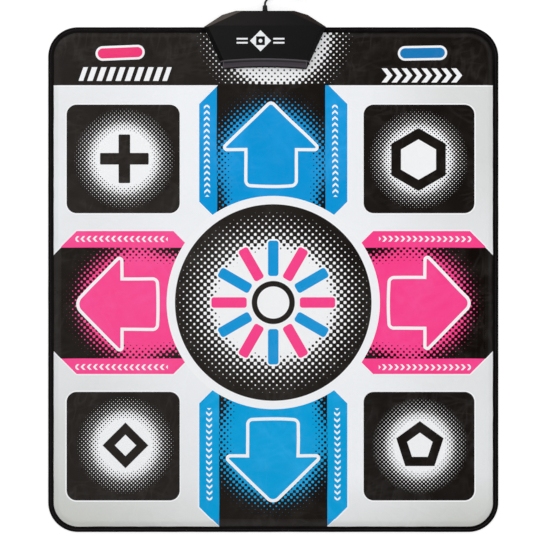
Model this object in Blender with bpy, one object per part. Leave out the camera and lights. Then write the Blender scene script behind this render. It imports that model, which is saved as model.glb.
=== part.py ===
"""Dance mat controller.

A sewn mat of thin layers senses steps in ten places. A moulded housing on its top edge
holds the circuit board, and a cord leaves the housing at the back. Metres, +Z up. The
origin lies on the floor, midway between the mat's near edge and the housing's rear.
"""

import math

import bmesh
import bpy
from mathutils import Vector

# Fits
SEAT = 0.0003  # between pieces that touch
THROUGH = 0.002  # how far a cutter runs past what it cuts

# Mat
MAT_WIDTH = 0.8155
MAT_LENGTH = 0.9144
MAT_CORNER = 0.054
CORNER_STEPS = 7

# Layers, from the floor up
BOTTOM_COVER = 0.0008
BASE_FOAM = 0.0025
CONTACT_SHEET = 0.0003
SPACER_FOAM = 0.0012
TOP_COVER = 0.0008

# Rim: the covers come together inside the binding, and the cover rises to full height behind it
BINDING_WIDTH = 0.010
BINDING_TAPE = 0.0008
BINDING_ROUND = 0.0018
BEND_STEPS = 3
PILLOW_WIDTH = 0.011
PILLOW_STEPS = 4
UNDER_SLOPE = 0.003

# Printed field
HEADER_DEPTH = 0.1035
RING_RADIUS = 0.193
RING_STEPS = 8
PANEL_HALF_WIDTH = 0.134
SIDE_PANEL_HALF_WIDTH = 0.1293
TOE_CHAMFER = 0.024
SIDE_TOE_CHAMFER = 0.021
UP_CHAMFER = 0.036
DOWN_CHAMFER = 0.022
SIDE_CHAMFER = 0.028
PANEL_RIM_GAP = 0.003

# Corner squares
SQUARE_CORNER = 0.018
SQUARE_STEPS = 4
SQUARE_RIM_GAP_LEFT = 0.0129
SQUARE_RIM_GAP_RIGHT = 0.0228
SQUARE_RIM_GAP_BOTTOM = 0.0367
SQUARE_HEADER_GAP = 0.0371
SQUARE_PANEL_GAP_LEFT = 0.0353
SQUARE_PANEL_GAP_RIGHT = 0.0295
SQUARE_SIDE_PANEL_GAP = 0.0324

# Keys in the header
KEY_WIDTH = 0.110
KEY_DEPTH = 0.042
KEY_CORNER = 0.012
KEY_RIM_GAP = 0.0037
KEY_FROM_SIDE = 0.1348

# Moving patches
CONTACT_MARGIN = 0.006  # from the edge of a cover patch to the edge of its contact patch

# Housing, in plan from the middle of the mat's top edge
HOUSING_OFFSET = -0.015
HOUSING_REAR = 0.029
HOUSING_REAR_HALF = 0.053
HOUSING_KINK = 0.0216
HOUSING_KINK_HALF = 0.0775
HOUSING_HALF = 0.1105
HOUSING_FRONT = 0.077
HOUSING_FRONT_HALF = 0.075
FRONT_HOLLOW = 0.0035
FRONT_STEPS = 8
HOUSING_OVERLAP = 0.012  # how far the upper shell covers the mat
SHOULDER_GAP = 0.003  # from the mat's pillowed rim to where the lower shell narrows

# Housing, upright
HOUSING_HEIGHT = 0.032
SKIRT_HEIGHT = 0.0055
SHELL_WALL = 0.0022
DRAFT = 0.0003
SIDE_BEVEL = 0.0065
REAR_BEVEL = 0.002
REAR_SIDE_BEVEL = 0.005
LIP_DEPTH = 0.0132
LIP_SCOOP = 2.2  # the power that hollows the lip: 1 would make it flat
RISE_STEPS = 5
REAR_FALL = 0.0015  # how far the top falls from its crease to the housing's rear
TOP_EDGE = 0.001
FLOOR_WALL = 0.0017
UNDER_EDGE = 0.0006

# Screws and posts
SCREW_SHANK = 0.00125
SCREW_LENGTH = 0.014
SCREW_HEAD = 0.0028
SCREW_HEAD_HEIGHT = 0.0018
SCREW_HEAD_FLAT = 0.7  # the head's flat top, as a share of its radius
SCREW_HEAD_RIM = 0.4  # the upright part of its side, as a share of its height
SCREW_STEPS = 8
SCREW_WELL = 0.0045
POST_RADIUS = 0.0046
POST_HEIGHT = 0.009
BOSS_RADIUS = 0.0036
BOSS_WEB = 0.003
ROUND_STEPS = 12
FRONT_SCREW_FROM_SIDE = 0.0278
FRONT_SCREW_FROM_FRONT = 0.030
REAR_SCREW_FROM_SIDE = 0.030
REAR_SCREW_FROM_REAR = 0.026

# Circuit board
BOARD_WIDTH = 0.092
BOARD_DEPTH = 0.038
BOARD_THICK = 0.0016
BOARD_LEVEL = 0.0085
BOARD_FROM_FRONT = 0.013  # from the lower shell's front
BOARD_CORNER = 0.002
SMALL_STEPS = 2
BOARD_POST = 0.0030
BOARD_SCREW_INSET = 0.006
BOARD_SCREW_LENGTH = 0.0075
CHIP_RADIUS = 0.0075
CHIP_HEIGHT = 0.0022
DOME_STEPS = 3
CHIP_FROM_REAR = 0.013
CRYSTAL_WIDTH = 0.011
CRYSTAL_DEPTH = 0.0046
CRYSTAL_HEIGHT = 0.0035
CRYSTAL_FROM_CHIP = 0.018
CAPACITOR_RADIUS = 0.0025
CAPACITOR_HEIGHT = 0.007
CAPACITOR_FROM_CHIP = 0.020

# Tails of the contact sheets, and what clamps them to the board
TAIL_WIDTH = 0.028
TAIL_SPACING = 0.034
TAIL_RISE = 0.009
TAIL_RISE_START = 0.002
TAIL_RISE_STEPS = 5
TAIL_ON_BOARD = 0.009
TAIL_ROOT = 0.002
CLAMP_DEPTH = 0.007
CLAMP_RUBBER = 0.002
CLAMP_BAR = 0.0032
ROUND_END = 0.475  # a round end's radius, as a share of the piece's width
CLAMP_SCREW_LENGTH = 0.013

# Cord and strain relief
CORD_DIAMETER = 0.004
RELIEF_LENGTH = 0.010
RELIEF_BASE = 0.0049
RELIEF_TIP = 0.0041
RELIEF_GROOVE = 0.0005
RELIEF_GROOVE_COUNT = 2
RELIEF_NECK = 0.0040
RELIEF_FLANGE = 0.0053
RELIEF_FLANGE_THICK = 0.002
LEAD_DIAMETER = 0.003
LEAD_POINTS = 10
TUBE_SIDES = 2  # bevel resolution, which makes eight sides

# Coil that holds the rest of the cord, from the cord's exit
COIL_CENTRE = (0.060, 0.0462)
COIL_TURNS = 12.5
COIL_LAYERS = 4
COIL_MIDDLE = 0.022
COIL_PITCH = 0.00408
COIL_SLACK = 0.0002
COIL_EDGE = 0.0013
COIL_STEPS = 24
TIE_WIDTH = 0.005
TIE_THICK = 0.0005

# Plug
PLUG_LENGTH = 0.030
PLUG_WIDTH = 0.016
PLUG_HEIGHT = 0.008
PLUG_CORNER = 0.0016
PLUG_EDGE = 0.0005
PLUG_SHOULDER = 0.002
PLUG_NOSE_LENGTH = 0.008
PLUG_NOSE_WIDTH = 0.0072
PLUG_NOSE_HEIGHT = 0.006
PLUG_NOSE_CORNER = 0.002
PLUG_SHELL_LENGTH = 0.012
PLUG_SHELL_WIDTH = 0.012
PLUG_SHELL_HEIGHT = 0.0045
PLUG_SHELL_WALL = 0.0004
PLUG_TONGUE_HEIGHT = 0.0018
PLUG_TONGUE_SHORT = 0.001
PLUG_PLACE = (0.0215, 0.0625)
PLUG_HEADING = math.radians(211)

# The cord's way from its exit to the coil, and from the coil to the plug. The first two
# numbers are offsets in plan from the exit, and the third is the height above the floor.
CORD_POINTS = 17
PLUG_LEAD_POINTS = 12
CORD_WAY = (
    (0.0000, 0.0000, 0.00755),
    (0.0002, 0.0035, 0.00750),
    (0.0016, 0.0073, 0.00700),
    (0.0048, 0.0112, 0.00590),
    (0.0098, 0.0146, 0.00440),
    (0.0168, 0.0169, 0.00310),
    (0.0260, 0.0178, 0.00240),
    (0.0350, 0.0178, 0.00250),
    (0.0436, 0.0178, 0.00300),
)
PLUG_WAY = (
    (0.0436, 0.0746, 0.01520),
    (0.0380, 0.0738, 0.01320),
    (0.0320, 0.0712, 0.00960),
    (0.0262, 0.0668, 0.00580),
    (0.0220, 0.0628, 0.00410),
)

MAT_CENTRE_Y = -HOUSING_REAR / 2
RIM = BINDING_WIDTH + PILLOW_WIDTH
LOWER_FRONT = HOUSING_OVERLAP - HOUSING_FRONT
BOARD_FRONT = LOWER_FRONT + BOARD_FROM_FRONT


def make_material(name, colour, roughness, metallic=0.0):
    material = bpy.data.materials.new(name)
    material.use_nodes = True
    shader = material.node_tree.nodes["Principled BSDF"]
    shader.inputs["Base Color"].default_value = (*colour, 1.0)
    shader.inputs["Roughness"].default_value = roughness
    shader.inputs["Metallic"].default_value = metallic
    return material


def stack_layers():
    """The lowest and highest level of each flat layer of the mat, from the floor up."""
    layers = (
        ("bottom_cover", BOTTOM_COVER),
        ("base_foam", BASE_FOAM),
        ("lower_sheet", CONTACT_SHEET),
        ("spacer_foam", SPACER_FOAM),
        ("upper_sheet", CONTACT_SHEET),
        ("top_cover", TOP_COVER),
    )
    levels = {}
    low = 0.0
    for name, thick in layers:
        levels[name] = (low, low + thick)
        low += thick + SEAT
    return levels


LEVELS = stack_layers()
MAT_TOP = LEVELS["top_cover"][1]
SHELL_SPLIT = MAT_TOP + SEAT / 2


# Outlines are lists of (x, y) points that run counterclockwise seen from above.


def rounded_rectangle(left, right, near, far, radius, steps):
    points = []
    corners = (
        (right - radius, near + radius, -90),
        (right - radius, far - radius, 0),
        (left + radius, far - radius, 90),
        (left + radius, near + radius, 180),
    )
    for x, y, start in corners:
        for step in range(steps + 1):
            angle = math.radians(start + 90 * step / steps)
            points.append((x + radius * math.cos(angle), y + radius * math.sin(angle)))
    return points


def circle(x, y, radius, steps=ROUND_STEPS):
    turns = [2 * math.pi * step / steps for step in range(steps)]
    return [(x + radius * math.cos(a), y + radius * math.sin(a)) for a in turns]


def inset(points, distance):
    """The outline with its sides moved inwards, by one distance or by one for each side."""
    count = len(points)
    distances = distance if isinstance(distance, (list, tuple)) else [distance] * count
    normals = []
    for i in range(count):
        along = Vector(points[(i + 1) % count]) - Vector(points[i])
        normals.append(Vector((-along.y, along.x)).normalized())
    moved = []
    for i in range(count):
        before, after = normals[i - 1], normals[i]
        far_before, far_after = distances[i - 1], distances[i]
        cross = before.x * after.y - before.y * after.x
        if abs(cross) < 1e-6:
            shift = after * far_after
        else:
            shift = Vector(
                (
                    (far_before * after.y - far_after * before.y) / cross,
                    (far_after * before.x - far_before * after.x) / cross,
                )
            )
        moved.append(tuple(Vector(points[i]) + shift))
    return moved


def turned_quarter(points, quarters, centre):
    """The points turned by quarter turns about the origin, then moved to the centre."""
    for _ in range(quarters):
        points = [(-y, x) for x, y in points]
    return [(x + centre[0], y + centre[1]) for x, y in points]


def smooth_way(points, count):
    """Points spaced along a smooth curve through the route's own points."""
    ends = [2 * Vector(points[0]) - Vector(points[1])]
    ends += [Vector(p) for p in points]
    ends += [2 * Vector(points[-1]) - Vector(points[-2])]
    way = []
    for step in range(count):
        place = (len(points) - 1) * step / (count - 1)
        i = min(int(place), len(points) - 2)
        t = place - i
        a, b, c, d = ends[i : i + 4]
        way.append(
            0.5
            * (
                2 * b
                + (c - a) * t
                + (2 * a - 5 * b + 4 * c - d) * t**2
                + (3 * b - a - 3 * c + d) * t**3
            )
        )
    return way


def add_object(name, mesh, material, parent):
    """Put a finished bmesh into the scene as an object of its own."""
    bmesh.ops.recalc_face_normals(mesh, faces=mesh.faces)
    data = bpy.data.meshes.new(name)
    mesh.to_mesh(data)
    mesh.free()
    thing = bpy.data.objects.new(name, data)
    bpy.context.scene.collection.objects.link(thing)
    thing.parent = parent
    if material is not None:
        data.materials.append(material)
    return thing


def add_empty(name, place, parent=None):
    empty = bpy.data.objects.new(name, None)
    empty.location = place
    empty.parent = parent
    bpy.context.scene.collection.objects.link(empty)
    return empty


def shade_round(thing):
    """Smooth shading over the round faces, with the corners kept sharp."""
    thing.data.shade_smooth()
    thing.data.set_sharp_from_angle(angle=math.radians(35))
    return thing


def fill_loft(mesh, sections, crease=None):
    """Add a closed skin through outlines of equal count, capped at both ends.

    Each outline has one level, or a level for each of its points. With a crease, each cap is
    two faces that meet on the line between the two points whose places the crease names.
    """
    rings = []
    for outline, level in sections:
        levels = level if isinstance(level, list) else [level] * len(outline)
        rings.append([mesh.verts.new((x, y, z)) for (x, y), z in zip(outline, levels)])
    count = len(rings[0])
    for lower, upper in zip(rings, rings[1:]):
        for i in range(count):
            j = (i + 1) % count
            mesh.faces.new((lower[i], lower[j], upper[j], upper[i]))
    for ring in (rings[0], rings[-1]):
        if crease is None:
            mesh.faces.new(ring)
        else:
            first, second = crease
            mesh.faces.new(ring[first : second + 1])
            mesh.faces.new(ring[second:] + ring[: first + 1])


def loft(name, sections, material, parent, crease=None):
    mesh = bmesh.new()
    fill_loft(mesh, sections, crease)
    return add_object(name, mesh, material, parent)


def plate(name, outline, low, high, material, parent):
    return loft(name, [(outline, low), (outline, high)], material, parent)


def turned(name, profile, material, parent, steps=ROUND_STEPS):
    """A solid of revolution about Z. The profile's (radius, level) points start and end on the axis."""
    mesh = bmesh.new()
    edges = [mesh.verts.new((radius, 0, level)) for radius, level in profile]
    spun = [mesh.edges.new(pair) for pair in zip(edges, edges[1:])]
    bmesh.ops.spin(
        mesh,
        geom=edges + spun,
        cent=(0, 0, 0),
        axis=(0, 0, 1),
        angle=2 * math.pi,
        steps=steps,
        use_merge=True,
    )
    bmesh.ops.remove_doubles(mesh, verts=mesh.verts, dist=1e-6)
    return shade_round(add_object(name, mesh, material, parent))


def swept_ring(mesh, rings):
    """Add a closed ring of section through closed loops of points, such as a coil or a tape."""
    loops = [[mesh.verts.new(point) for point in ring] for ring in rings]
    count = len(loops[0])
    for k, loop in enumerate(loops):
        following = loops[(k + 1) % len(loops)]
        for i in range(count):
            j = (i + 1) % count
            mesh.faces.new((loop[i], loop[j], following[j], following[i]))


def extruded_side(name, profile, left, right, material, parent):
    """A solid with a (y, z) outline, drawn out along X."""
    mesh = bmesh.new()
    near = [mesh.verts.new((left, y, z)) for y, z in profile]
    far = [mesh.verts.new((right, y, z)) for y, z in profile]
    for i in range(len(profile)):
        j = (i + 1) % len(profile)
        mesh.faces.new((near[i], near[j], far[j], far[i]))
    mesh.faces.new(list(reversed(near)))
    mesh.faces.new(far)
    return add_object(name, mesh, material, parent)


def guide(name, outlines, low, high, parent):
    """Upright prisms that only shape other pieces, as one hidden object."""
    mesh = bmesh.new()
    for outline in outlines:
        fill_loft(mesh, [(outline, low), (outline, high)])
    return hide(add_object(name, mesh, None, parent))


def hide(thing):
    thing.hide_render = True
    thing.display_type = "WIRE"
    return thing


def combine(thing, other, operation):
    modifier = thing.modifiers.new(f"{operation.lower()} {other.name}", "BOOLEAN")
    modifier.operation = operation
    modifier.solver = "EXACT"
    modifier.object = other


def tube(name, points, diameter, material, parent):
    """A round tube with flat ends that follows the points."""
    curve = bpy.data.curves.new(name, "CURVE")
    curve.dimensions = "3D"
    curve.bevel_depth = diameter / 2
    curve.bevel_resolution = TUBE_SIDES
    curve.use_fill_caps = True
    spline = curve.splines.new("POLY")
    spline.points.add(len(points) - 1)
    for slot, point in zip(spline.points, points):
        slot.co = (*point, 1.0)
    curve.materials.append(material)
    thing = bpy.data.objects.new(name, curve)
    thing.parent = parent
    bpy.context.scene.collection.objects.link(thing)
    return thing


# The mat's plan


def field_lines():
    """The lines that the printed field is laid out on, from the mat's middle."""
    left = -MAT_WIDTH / 2 + RIM
    near = -MAT_LENGTH / 2 + RIM
    header = MAT_LENGTH / 2 - HEADER_DEPTH
    square_far = header - SQUARE_HEADER_GAP
    square_near = near + SQUARE_RIM_GAP_BOTTOM
    return {
        "left": left,
        "right": -left,
        "near": near,
        "far": -near,
        "header": header,
        "square_far": square_far,
        "square_near": square_near,
        "centre": (square_far + square_near) / 2,
    }


def arrow_panel(half_width, toe_chamfer, reach, end_chamfer):
    """A panel that points along +Y from the ring: two toes on the ring and a chamfered outer end."""
    toe = math.asin((half_width - toe_chamfer) / RING_RADIUS)
    toe_far = RING_RADIUS * math.cos(toe) + toe_chamfer
    side = [
        (half_width, toe_far),
        (half_width, reach - end_chamfer),
        (half_width - end_chamfer, reach),
    ]
    outline = side + [(-x, y) for x, y in reversed(side)]
    for step in range(RING_STEPS + 1):
        angle = toe * (2 * step / RING_STEPS - 1)
        outline.append((RING_RADIUS * math.sin(angle), RING_RADIUS * math.cos(angle)))
    return outline


def zone_outlines():
    """The outline of each step zone and key, from the mat's middle."""
    lines = field_lines()
    centre = (0, lines["centre"])
    up_reach = lines["header"] - lines["centre"]
    down_reach = lines["centre"] - lines["near"] - PANEL_RIM_GAP
    side_reach = lines["right"] - PANEL_RIM_GAP
    up = arrow_panel(PANEL_HALF_WIDTH, TOE_CHAMFER, up_reach, UP_CHAMFER)
    down = arrow_panel(PANEL_HALF_WIDTH, TOE_CHAMFER, down_reach, DOWN_CHAMFER)
    side = arrow_panel(SIDE_PANEL_HALF_WIDTH, SIDE_TOE_CHAMFER, side_reach, SIDE_CHAMFER)
    zones = {
        "up_step": turned_quarter(up, 0, centre),
        "left_step": turned_quarter(side, 1, centre),
        "down_step": turned_quarter(down, 2, centre),
        "right_step": turned_quarter(side, 3, centre),
    }
    row_gap = SIDE_PANEL_HALF_WIDTH + SQUARE_SIDE_PANEL_GAP
    rows = {
        "top": (lines["centre"] + row_gap, lines["square_far"]),
        "bottom": (lines["square_near"], lines["centre"] - row_gap),
    }
    columns = {
        "left": (
            lines["left"] + SQUARE_RIM_GAP_LEFT,
            -PANEL_HALF_WIDTH - SQUARE_PANEL_GAP_LEFT,
        ),
        "right": (
            PANEL_HALF_WIDTH + SQUARE_PANEL_GAP_RIGHT,
            lines["right"] - SQUARE_RIM_GAP_RIGHT,
        ),
    }
    for row, (near, far) in rows.items():
        for column, (left, right) in columns.items():
            zones[f"{row}_{column}_step"] = rounded_rectangle(
                left, right, near, far, SQUARE_CORNER, SQUARE_STEPS
            )
    key_far = lines["far"] - KEY_RIM_GAP
    key_middle = MAT_WIDTH / 2 - KEY_FROM_SIDE
    for name, middle in (("select_key", -key_middle), ("start_key", key_middle)):
        zones[name] = rounded_rectangle(
            middle - KEY_WIDTH / 2,
            middle + KEY_WIDTH / 2,
            key_far - KEY_DEPTH,
            key_far,
            KEY_CORNER,
            SQUARE_STEPS,
        )
    return zones


def mat_outline():
    half_width, half_length = MAT_WIDTH / 2, MAT_LENGTH / 2
    return rounded_rectangle(
        -half_width, half_width, -half_length, half_length, MAT_CORNER, CORNER_STEPS
    )


# The housing's plan, from the middle of the mat's top edge


def side_line(y):
    """Half the housing's width at y, in front of its widest place."""
    share = -y / HOUSING_FRONT
    return HOUSING_HALF + (HOUSING_FRONT_HALF - HOUSING_HALF) * share


def rear_half():
    """The right half of the housing's plan behind its widest place."""
    return [
        (HOUSING_HALF, 0),
        (HOUSING_KINK_HALF, HOUSING_KINK),
        (HOUSING_REAR_HALF, HOUSING_REAR),
    ]


# Places in the upper shell's outline
WIDEST = (1, 6)
KINKS = ((1, 2, 3), (6, 5, 4))  # the widest corner, the kink and the rear corner on each side


def upper_shell_plan():
    """The upper shell's outline, from its right front corner."""
    right = [(HOUSING_FRONT_HALF, -HOUSING_FRONT)] + rear_half()
    outline = right + [(-x, y) for x, y in reversed(right)]
    for step in range(1, FRONT_STEPS):
        across = 2 * step / FRONT_STEPS - 1
        hollow = FRONT_HOLLOW * (1 - across**2)
        outline.append((HOUSING_FRONT_HALF * across, hollow - HOUSING_FRONT))
    return outline


def upper_shell_section(share, low, high, further=0.0):
    """The upper shell's outline at a share of its walls' rise from low to high, with its levels.

    The side and rear walls lean in evenly and the lip is a scoop. Each kink's upper end lies
    on the straight line between the corners beside it, so that a facet narrows down to it.
    Behind its widest corners the housing falls towards its rear.
    """
    scoop = LIP_DEPTH * (1 - (1 - share) ** LIP_SCOOP)
    sides = [SIDE_BEVEL, REAR_SIDE_BEVEL, REAR_SIDE_BEVEL, REAR_BEVEL]
    sides += [REAR_SIDE_BEVEL, REAR_SIDE_BEVEL, SIDE_BEVEL]
    distances = [lean * share for lean in sides] + [scoop] * FRONT_STEPS
    start = DRAFT * (1 - share) + further
    outline = inset(upper_shell_plan(), [distance + start for distance in distances])
    for widest, kink, rear in KINKS:
        corner = Vector(outline[widest])
        chord = Vector(outline[rear]) - corner
        bend = Vector(outline[kink])
        straight = corner + chord * (bend - corner).dot(chord) / chord.length_squared
        outline[kink] = tuple(bend.lerp(straight, share))
    crease = outline[WIDEST[0]][1]
    level = low + (high - low) * share
    slope = REAR_FALL * share / HOUSING_REAR
    return outline, [level - slope * max(y - crease, 0) for _, y in outline]


def lower_shell_plan():
    """The lower shell is full width behind the mat's rim, and narrower where the mat lies over it."""
    shoulder = -(RIM + SHOULDER_GAP)
    right = [
        (side_line(LOWER_FRONT) - HOUSING_OVERLAP, LOWER_FRONT),
        (side_line(shoulder) - HOUSING_OVERLAP, shoulder),
        (side_line(shoulder), shoulder),
    ]
    right += rear_half()
    return right + [(-x, y) for x, y in reversed(right)]


# Pieces of the mat


def build_layers(frame, materials, notch, windows):
    """The root layers of the mat, each cut for the housing, and the upper ones for the zones."""
    outline = mat_outline()
    seam_low = BINDING_TAPE + SEAT
    seam_high = seam_low + BOTTOM_COVER + SEAT
    low, high = LEVELS["bottom_cover"]
    edge = inset(outline, BINDING_ROUND)
    under = inset(outline, BINDING_WIDTH + SEAT)
    flat = inset(outline, BINDING_WIDTH + SEAT + UNDER_SLOPE)
    bottom = loft(
        "bottom_cover",
        [
            (flat, low),
            (under, seam_low),
            (edge, seam_low),
            (edge, seam_low + BOTTOM_COVER),
            (under, seam_low + BOTTOM_COVER),
            (flat, high),
        ],
        materials["backing"],
        frame,
    )

    low, high = LEVELS["top_cover"]
    rise = low - seam_high
    slope = []
    for step in range(PILLOW_STEPS + 1):
        share = step / PILLOW_STEPS
        level = seam_high + rise * share**2 * (3 - 2 * share)
        slope.append((inset(outline, BINDING_WIDTH + PILLOW_WIDTH * share), level))
    sections = list(reversed(slope)) + [(edge, seam_high)]
    above = [(points, level + TOP_COVER) for points, level in reversed(sections)]
    top = loft("top_cover", sections + above, materials["film"], frame)
    shade_round(top)

    core = inset(outline, RIM + SEAT)
    pieces = {"bottom_cover": bottom, "top_cover": top}
    for name, layer, material in (
        ("base_foam", "base_foam", "foam"),
        ("lower_contact_sheet", "lower_sheet", "sheet"),
        ("spacer_foam", "spacer_foam", "spacer"),
        ("upper_contact_sheet", "upper_sheet", "sheet"),
    ):
        pieces[name] = plate(name, core, *LEVELS[layer], materials[material], frame)
    for piece in pieces.values():
        combine(piece, notch, "DIFFERENCE")
    for name in ("top_cover", "upper_contact_sheet", "spacer_foam"):
        combine(pieces[name], windows, "DIFFERENCE")
    return pieces


def build_binding(frame, materials, notch):
    """The folded tape: a C-shaped section carried round the mat's outline."""
    height = 2 * BINDING_TAPE + 3 * SEAT + BOTTOM_COVER + TOP_COVER
    inner_round = BINDING_ROUND - BINDING_TAPE
    section = [(BINDING_WIDTH, 0)]
    for radius, turn in ((BINDING_ROUND, 1), (inner_round, -1)):
        low_bend = []
        high_bend = []
        for step in range(BEND_STEPS + 1):
            angle = math.radians(90 * step / BEND_STEPS)
            along = BINDING_ROUND - radius * math.sin(angle)
            rise = BINDING_ROUND - radius * math.cos(angle)
            low_bend.append((along, rise))
            high_bend.append((along, height - rise))
        bends = low_bend + high_bend[::-1]
        section += bends[::turn]
        if turn == 1:
            section += [(BINDING_WIDTH, height), (BINDING_WIDTH, height - BINDING_TAPE)]
    section.append((BINDING_WIDTH, BINDING_TAPE))
    outline = mat_outline()
    rings = []
    for depth, level in section:
        rings.append([(x, y, level) for x, y in inset(outline, depth)])
    mesh = bmesh.new()
    swept_ring(mesh, rings)
    binding = shade_round(add_object("edge_binding", mesh, materials["binding"], frame))
    combine(binding, notch, "DIFFERENCE")
    return binding


def build_zones(frame, materials, zones):
    """Each zone's cover patch and the contact patch under it, on an empty at the zone's middle."""
    for name, outline in zones.items():
        xs = [x for x, _ in outline]
        ys = [y for _, y in outline]
        middle = ((min(xs) + max(xs)) / 2, (min(ys) + max(ys)) / 2)
        centre = add_empty(f"{name}_centre", (*middle, 0), frame)
        local = [(x - middle[0], y - middle[1]) for x, y in outline]
        patch = inset(local, SEAT)
        plate(f"{name}_cover", patch, *LEVELS["top_cover"], materials["film"], centre)
        contact = inset(patch, CONTACT_MARGIN)
        plate(f"{name}_contact", contact, *LEVELS["upper_sheet"], materials["carbon"], centre)


def build_tail(sheet, level, middle, side, frame, material):
    """A contact sheet's tail: out through the housing's front and up on to the board."""
    board_top = BOARD_LEVEL + BOARD_THICK + SEAT
    start = LOWER_FRONT + SHELL_WALL + TAIL_RISE_START
    line = [(LOWER_FRONT - SEAT - TAIL_ROOT, level), (start, level)]
    for step in range(1, TAIL_RISE_STEPS + 1):
        share = step / TAIL_RISE_STEPS
        climb = (board_top - level) * share**2 * (3 - 2 * share)
        line.append((start + TAIL_RISE * share, level + climb))
    line.append((start + TAIL_RISE + TAIL_ON_BOARD, board_top))
    profile = line + [(y, z + CONTACT_SHEET) for y, z in reversed(line)]
    tail = extruded_side(
        f"{side}_tail_guide",
        profile,
        middle - TAIL_WIDTH / 2,
        middle + TAIL_WIDTH / 2,
        material,
        frame,
    )
    combine(sheet, hide(tail), "UNION")


# Pieces of the housing


def screw_places():
    """The front pair of the housing's screws, then the rear pair, the right one first."""
    front = FRONT_SCREW_FROM_FRONT - HOUSING_FRONT
    rear = HOUSING_REAR - REAR_SCREW_FROM_REAR
    front_half = side_line(front) - FRONT_SCREW_FROM_SIDE
    rear_half_width = HOUSING_HALF - REAR_SCREW_FROM_SIDE
    return [
        (front_half, front),
        (-front_half, front),
        (rear_half_width, rear),
        (-rear_half_width, rear),
    ]


def board_screw_places():
    """The clamp's two screws in front, then the board's own two behind."""
    x = BOARD_WIDTH / 2 - BOARD_SCREW_INSET
    front = BOARD_FRONT + BOARD_SCREW_INSET
    rear = BOARD_FRONT + BOARD_DEPTH - BOARD_SCREW_INSET
    return [(x, front), (-x, front)], [(x, rear), (-x, rear)]


def build_upper_shell(frame, materials):
    """The upper shell, lofted from its ceiling down its inside and up its outside to its top."""
    low = MAT_TOP + SEAT
    skirt = low + SKIRT_HEIGHT
    shoulder = HOUSING_HEIGHT - TOP_EDGE
    ceiling = HOUSING_HEIGHT - SHELL_WALL
    shares = [(step / RISE_STEPS) ** 2 for step in range(RISE_STEPS + 1)]
    outer = [(upper_shell_plan(), low)]
    outer += [upper_shell_section(share, skirt, shoulder) for share in shares]
    outer.append(upper_shell_section(1, skirt, HOUSING_HEIGHT, TOP_EDGE))
    inner = [upper_shell_section(share, skirt, ceiling, SHELL_WALL) for share in shares[::-1]]
    inner.append((inset(upper_shell_plan(), SHELL_WALL), low))
    shell = loft("housing_top", inner + outer, materials["shell"], frame, WIDEST)
    boss_low = POST_HEIGHT + SEAT
    bosses = [circle(x, y, BOSS_RADIUS) for x, y in screw_places()]
    pilots = [circle(x, y, SCREW_SHANK + SEAT) for x, y in screw_places()]
    boss_top = ceiling + SHELL_WALL / 2
    combine(shell, guide("boss_guide", bosses, boss_low, boss_top, frame), "UNION")
    pilot_top = ceiling - BOSS_WEB
    pilot = guide("pilot_guide", pilots, boss_low - THROUGH, pilot_top, frame)
    combine(shell, pilot, "DIFFERENCE")
    return shell


def build_lower_shell(frame, materials):
    outline = lower_shell_plan()
    cavity = inset(outline, SHELL_WALL)
    shell = loft(
        "housing_bottom",
        [
            (cavity, FLOOR_WALL),
            (cavity, MAT_TOP),
            (outline, MAT_TOP),
            (outline, UNDER_EDGE),
            (inset(outline, UNDER_EDGE), 0),
        ],
        materials["shell"],
        frame,
    )
    posts = [circle(x, y, POST_RADIUS) for x, y in screw_places()]
    post_low = FLOOR_WALL / 2
    combine(shell, guide("post_guide", posts, post_low, POST_HEIGHT, frame), "UNION")
    clamp_screws, board_screws = board_screw_places()
    rests = [circle(x, y, BOARD_POST) for x, y in clamp_screws + board_screws]
    rest = guide("board_post_guide", rests, post_low, BOARD_LEVEL - SEAT, frame)
    combine(shell, rest, "UNION")
    wells = [circle(x, y, SCREW_HEAD + SEAT) for x, y in screw_places()]
    well = guide("well_guide", wells, -THROUGH, SCREW_WELL, frame)
    combine(shell, well, "DIFFERENCE")
    holes = [circle(x, y, SCREW_SHANK + SEAT) for x, y in screw_places()]
    hole = guide("hole_guide", holes, 0, POST_HEIGHT + THROUGH, frame)
    combine(shell, hole, "DIFFERENCE")
    pilots = [circle(x, y, SCREW_SHANK + SEAT) for x, y in clamp_screws + board_screws]
    pilot = guide("board_pilot_guide", pilots, FLOOR_WALL, BOARD_LEVEL + THROUGH, frame)
    combine(shell, pilot, "DIFFERENCE")
    tail_half = (TAIL_SPACING + TAIL_WIDTH) / 2 + SEAT
    slot_rear = LOWER_FRONT + SHELL_WALL + THROUGH
    slot = rounded_rectangle(-tail_half, tail_half, LOWER_FRONT - THROUGH, slot_rear, SEAT, 1)
    slot_low = LEVELS["lower_sheet"][0] - SEAT
    slot = guide("tail_slot_guide", [slot], slot_low, MAT_TOP + THROUGH, frame)
    combine(shell, slot, "DIFFERENCE")
    return shell


def cut_relief_hole(shells, frame):
    """The round hole for the strain relief's neck, half in each shell."""
    reach = SHELL_WALL + 2 * THROUGH
    hole = guide("relief_guide", [circle(0, 0, RELIEF_NECK + SEAT)], -reach, THROUGH, frame)
    hole.location = (0, HOUSING_REAR, SHELL_SPLIT)
    hole.rotation_euler = (-math.pi / 2, 0, 0)
    for shell in shells:
        combine(shell, hole, "DIFFERENCE")


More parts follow.
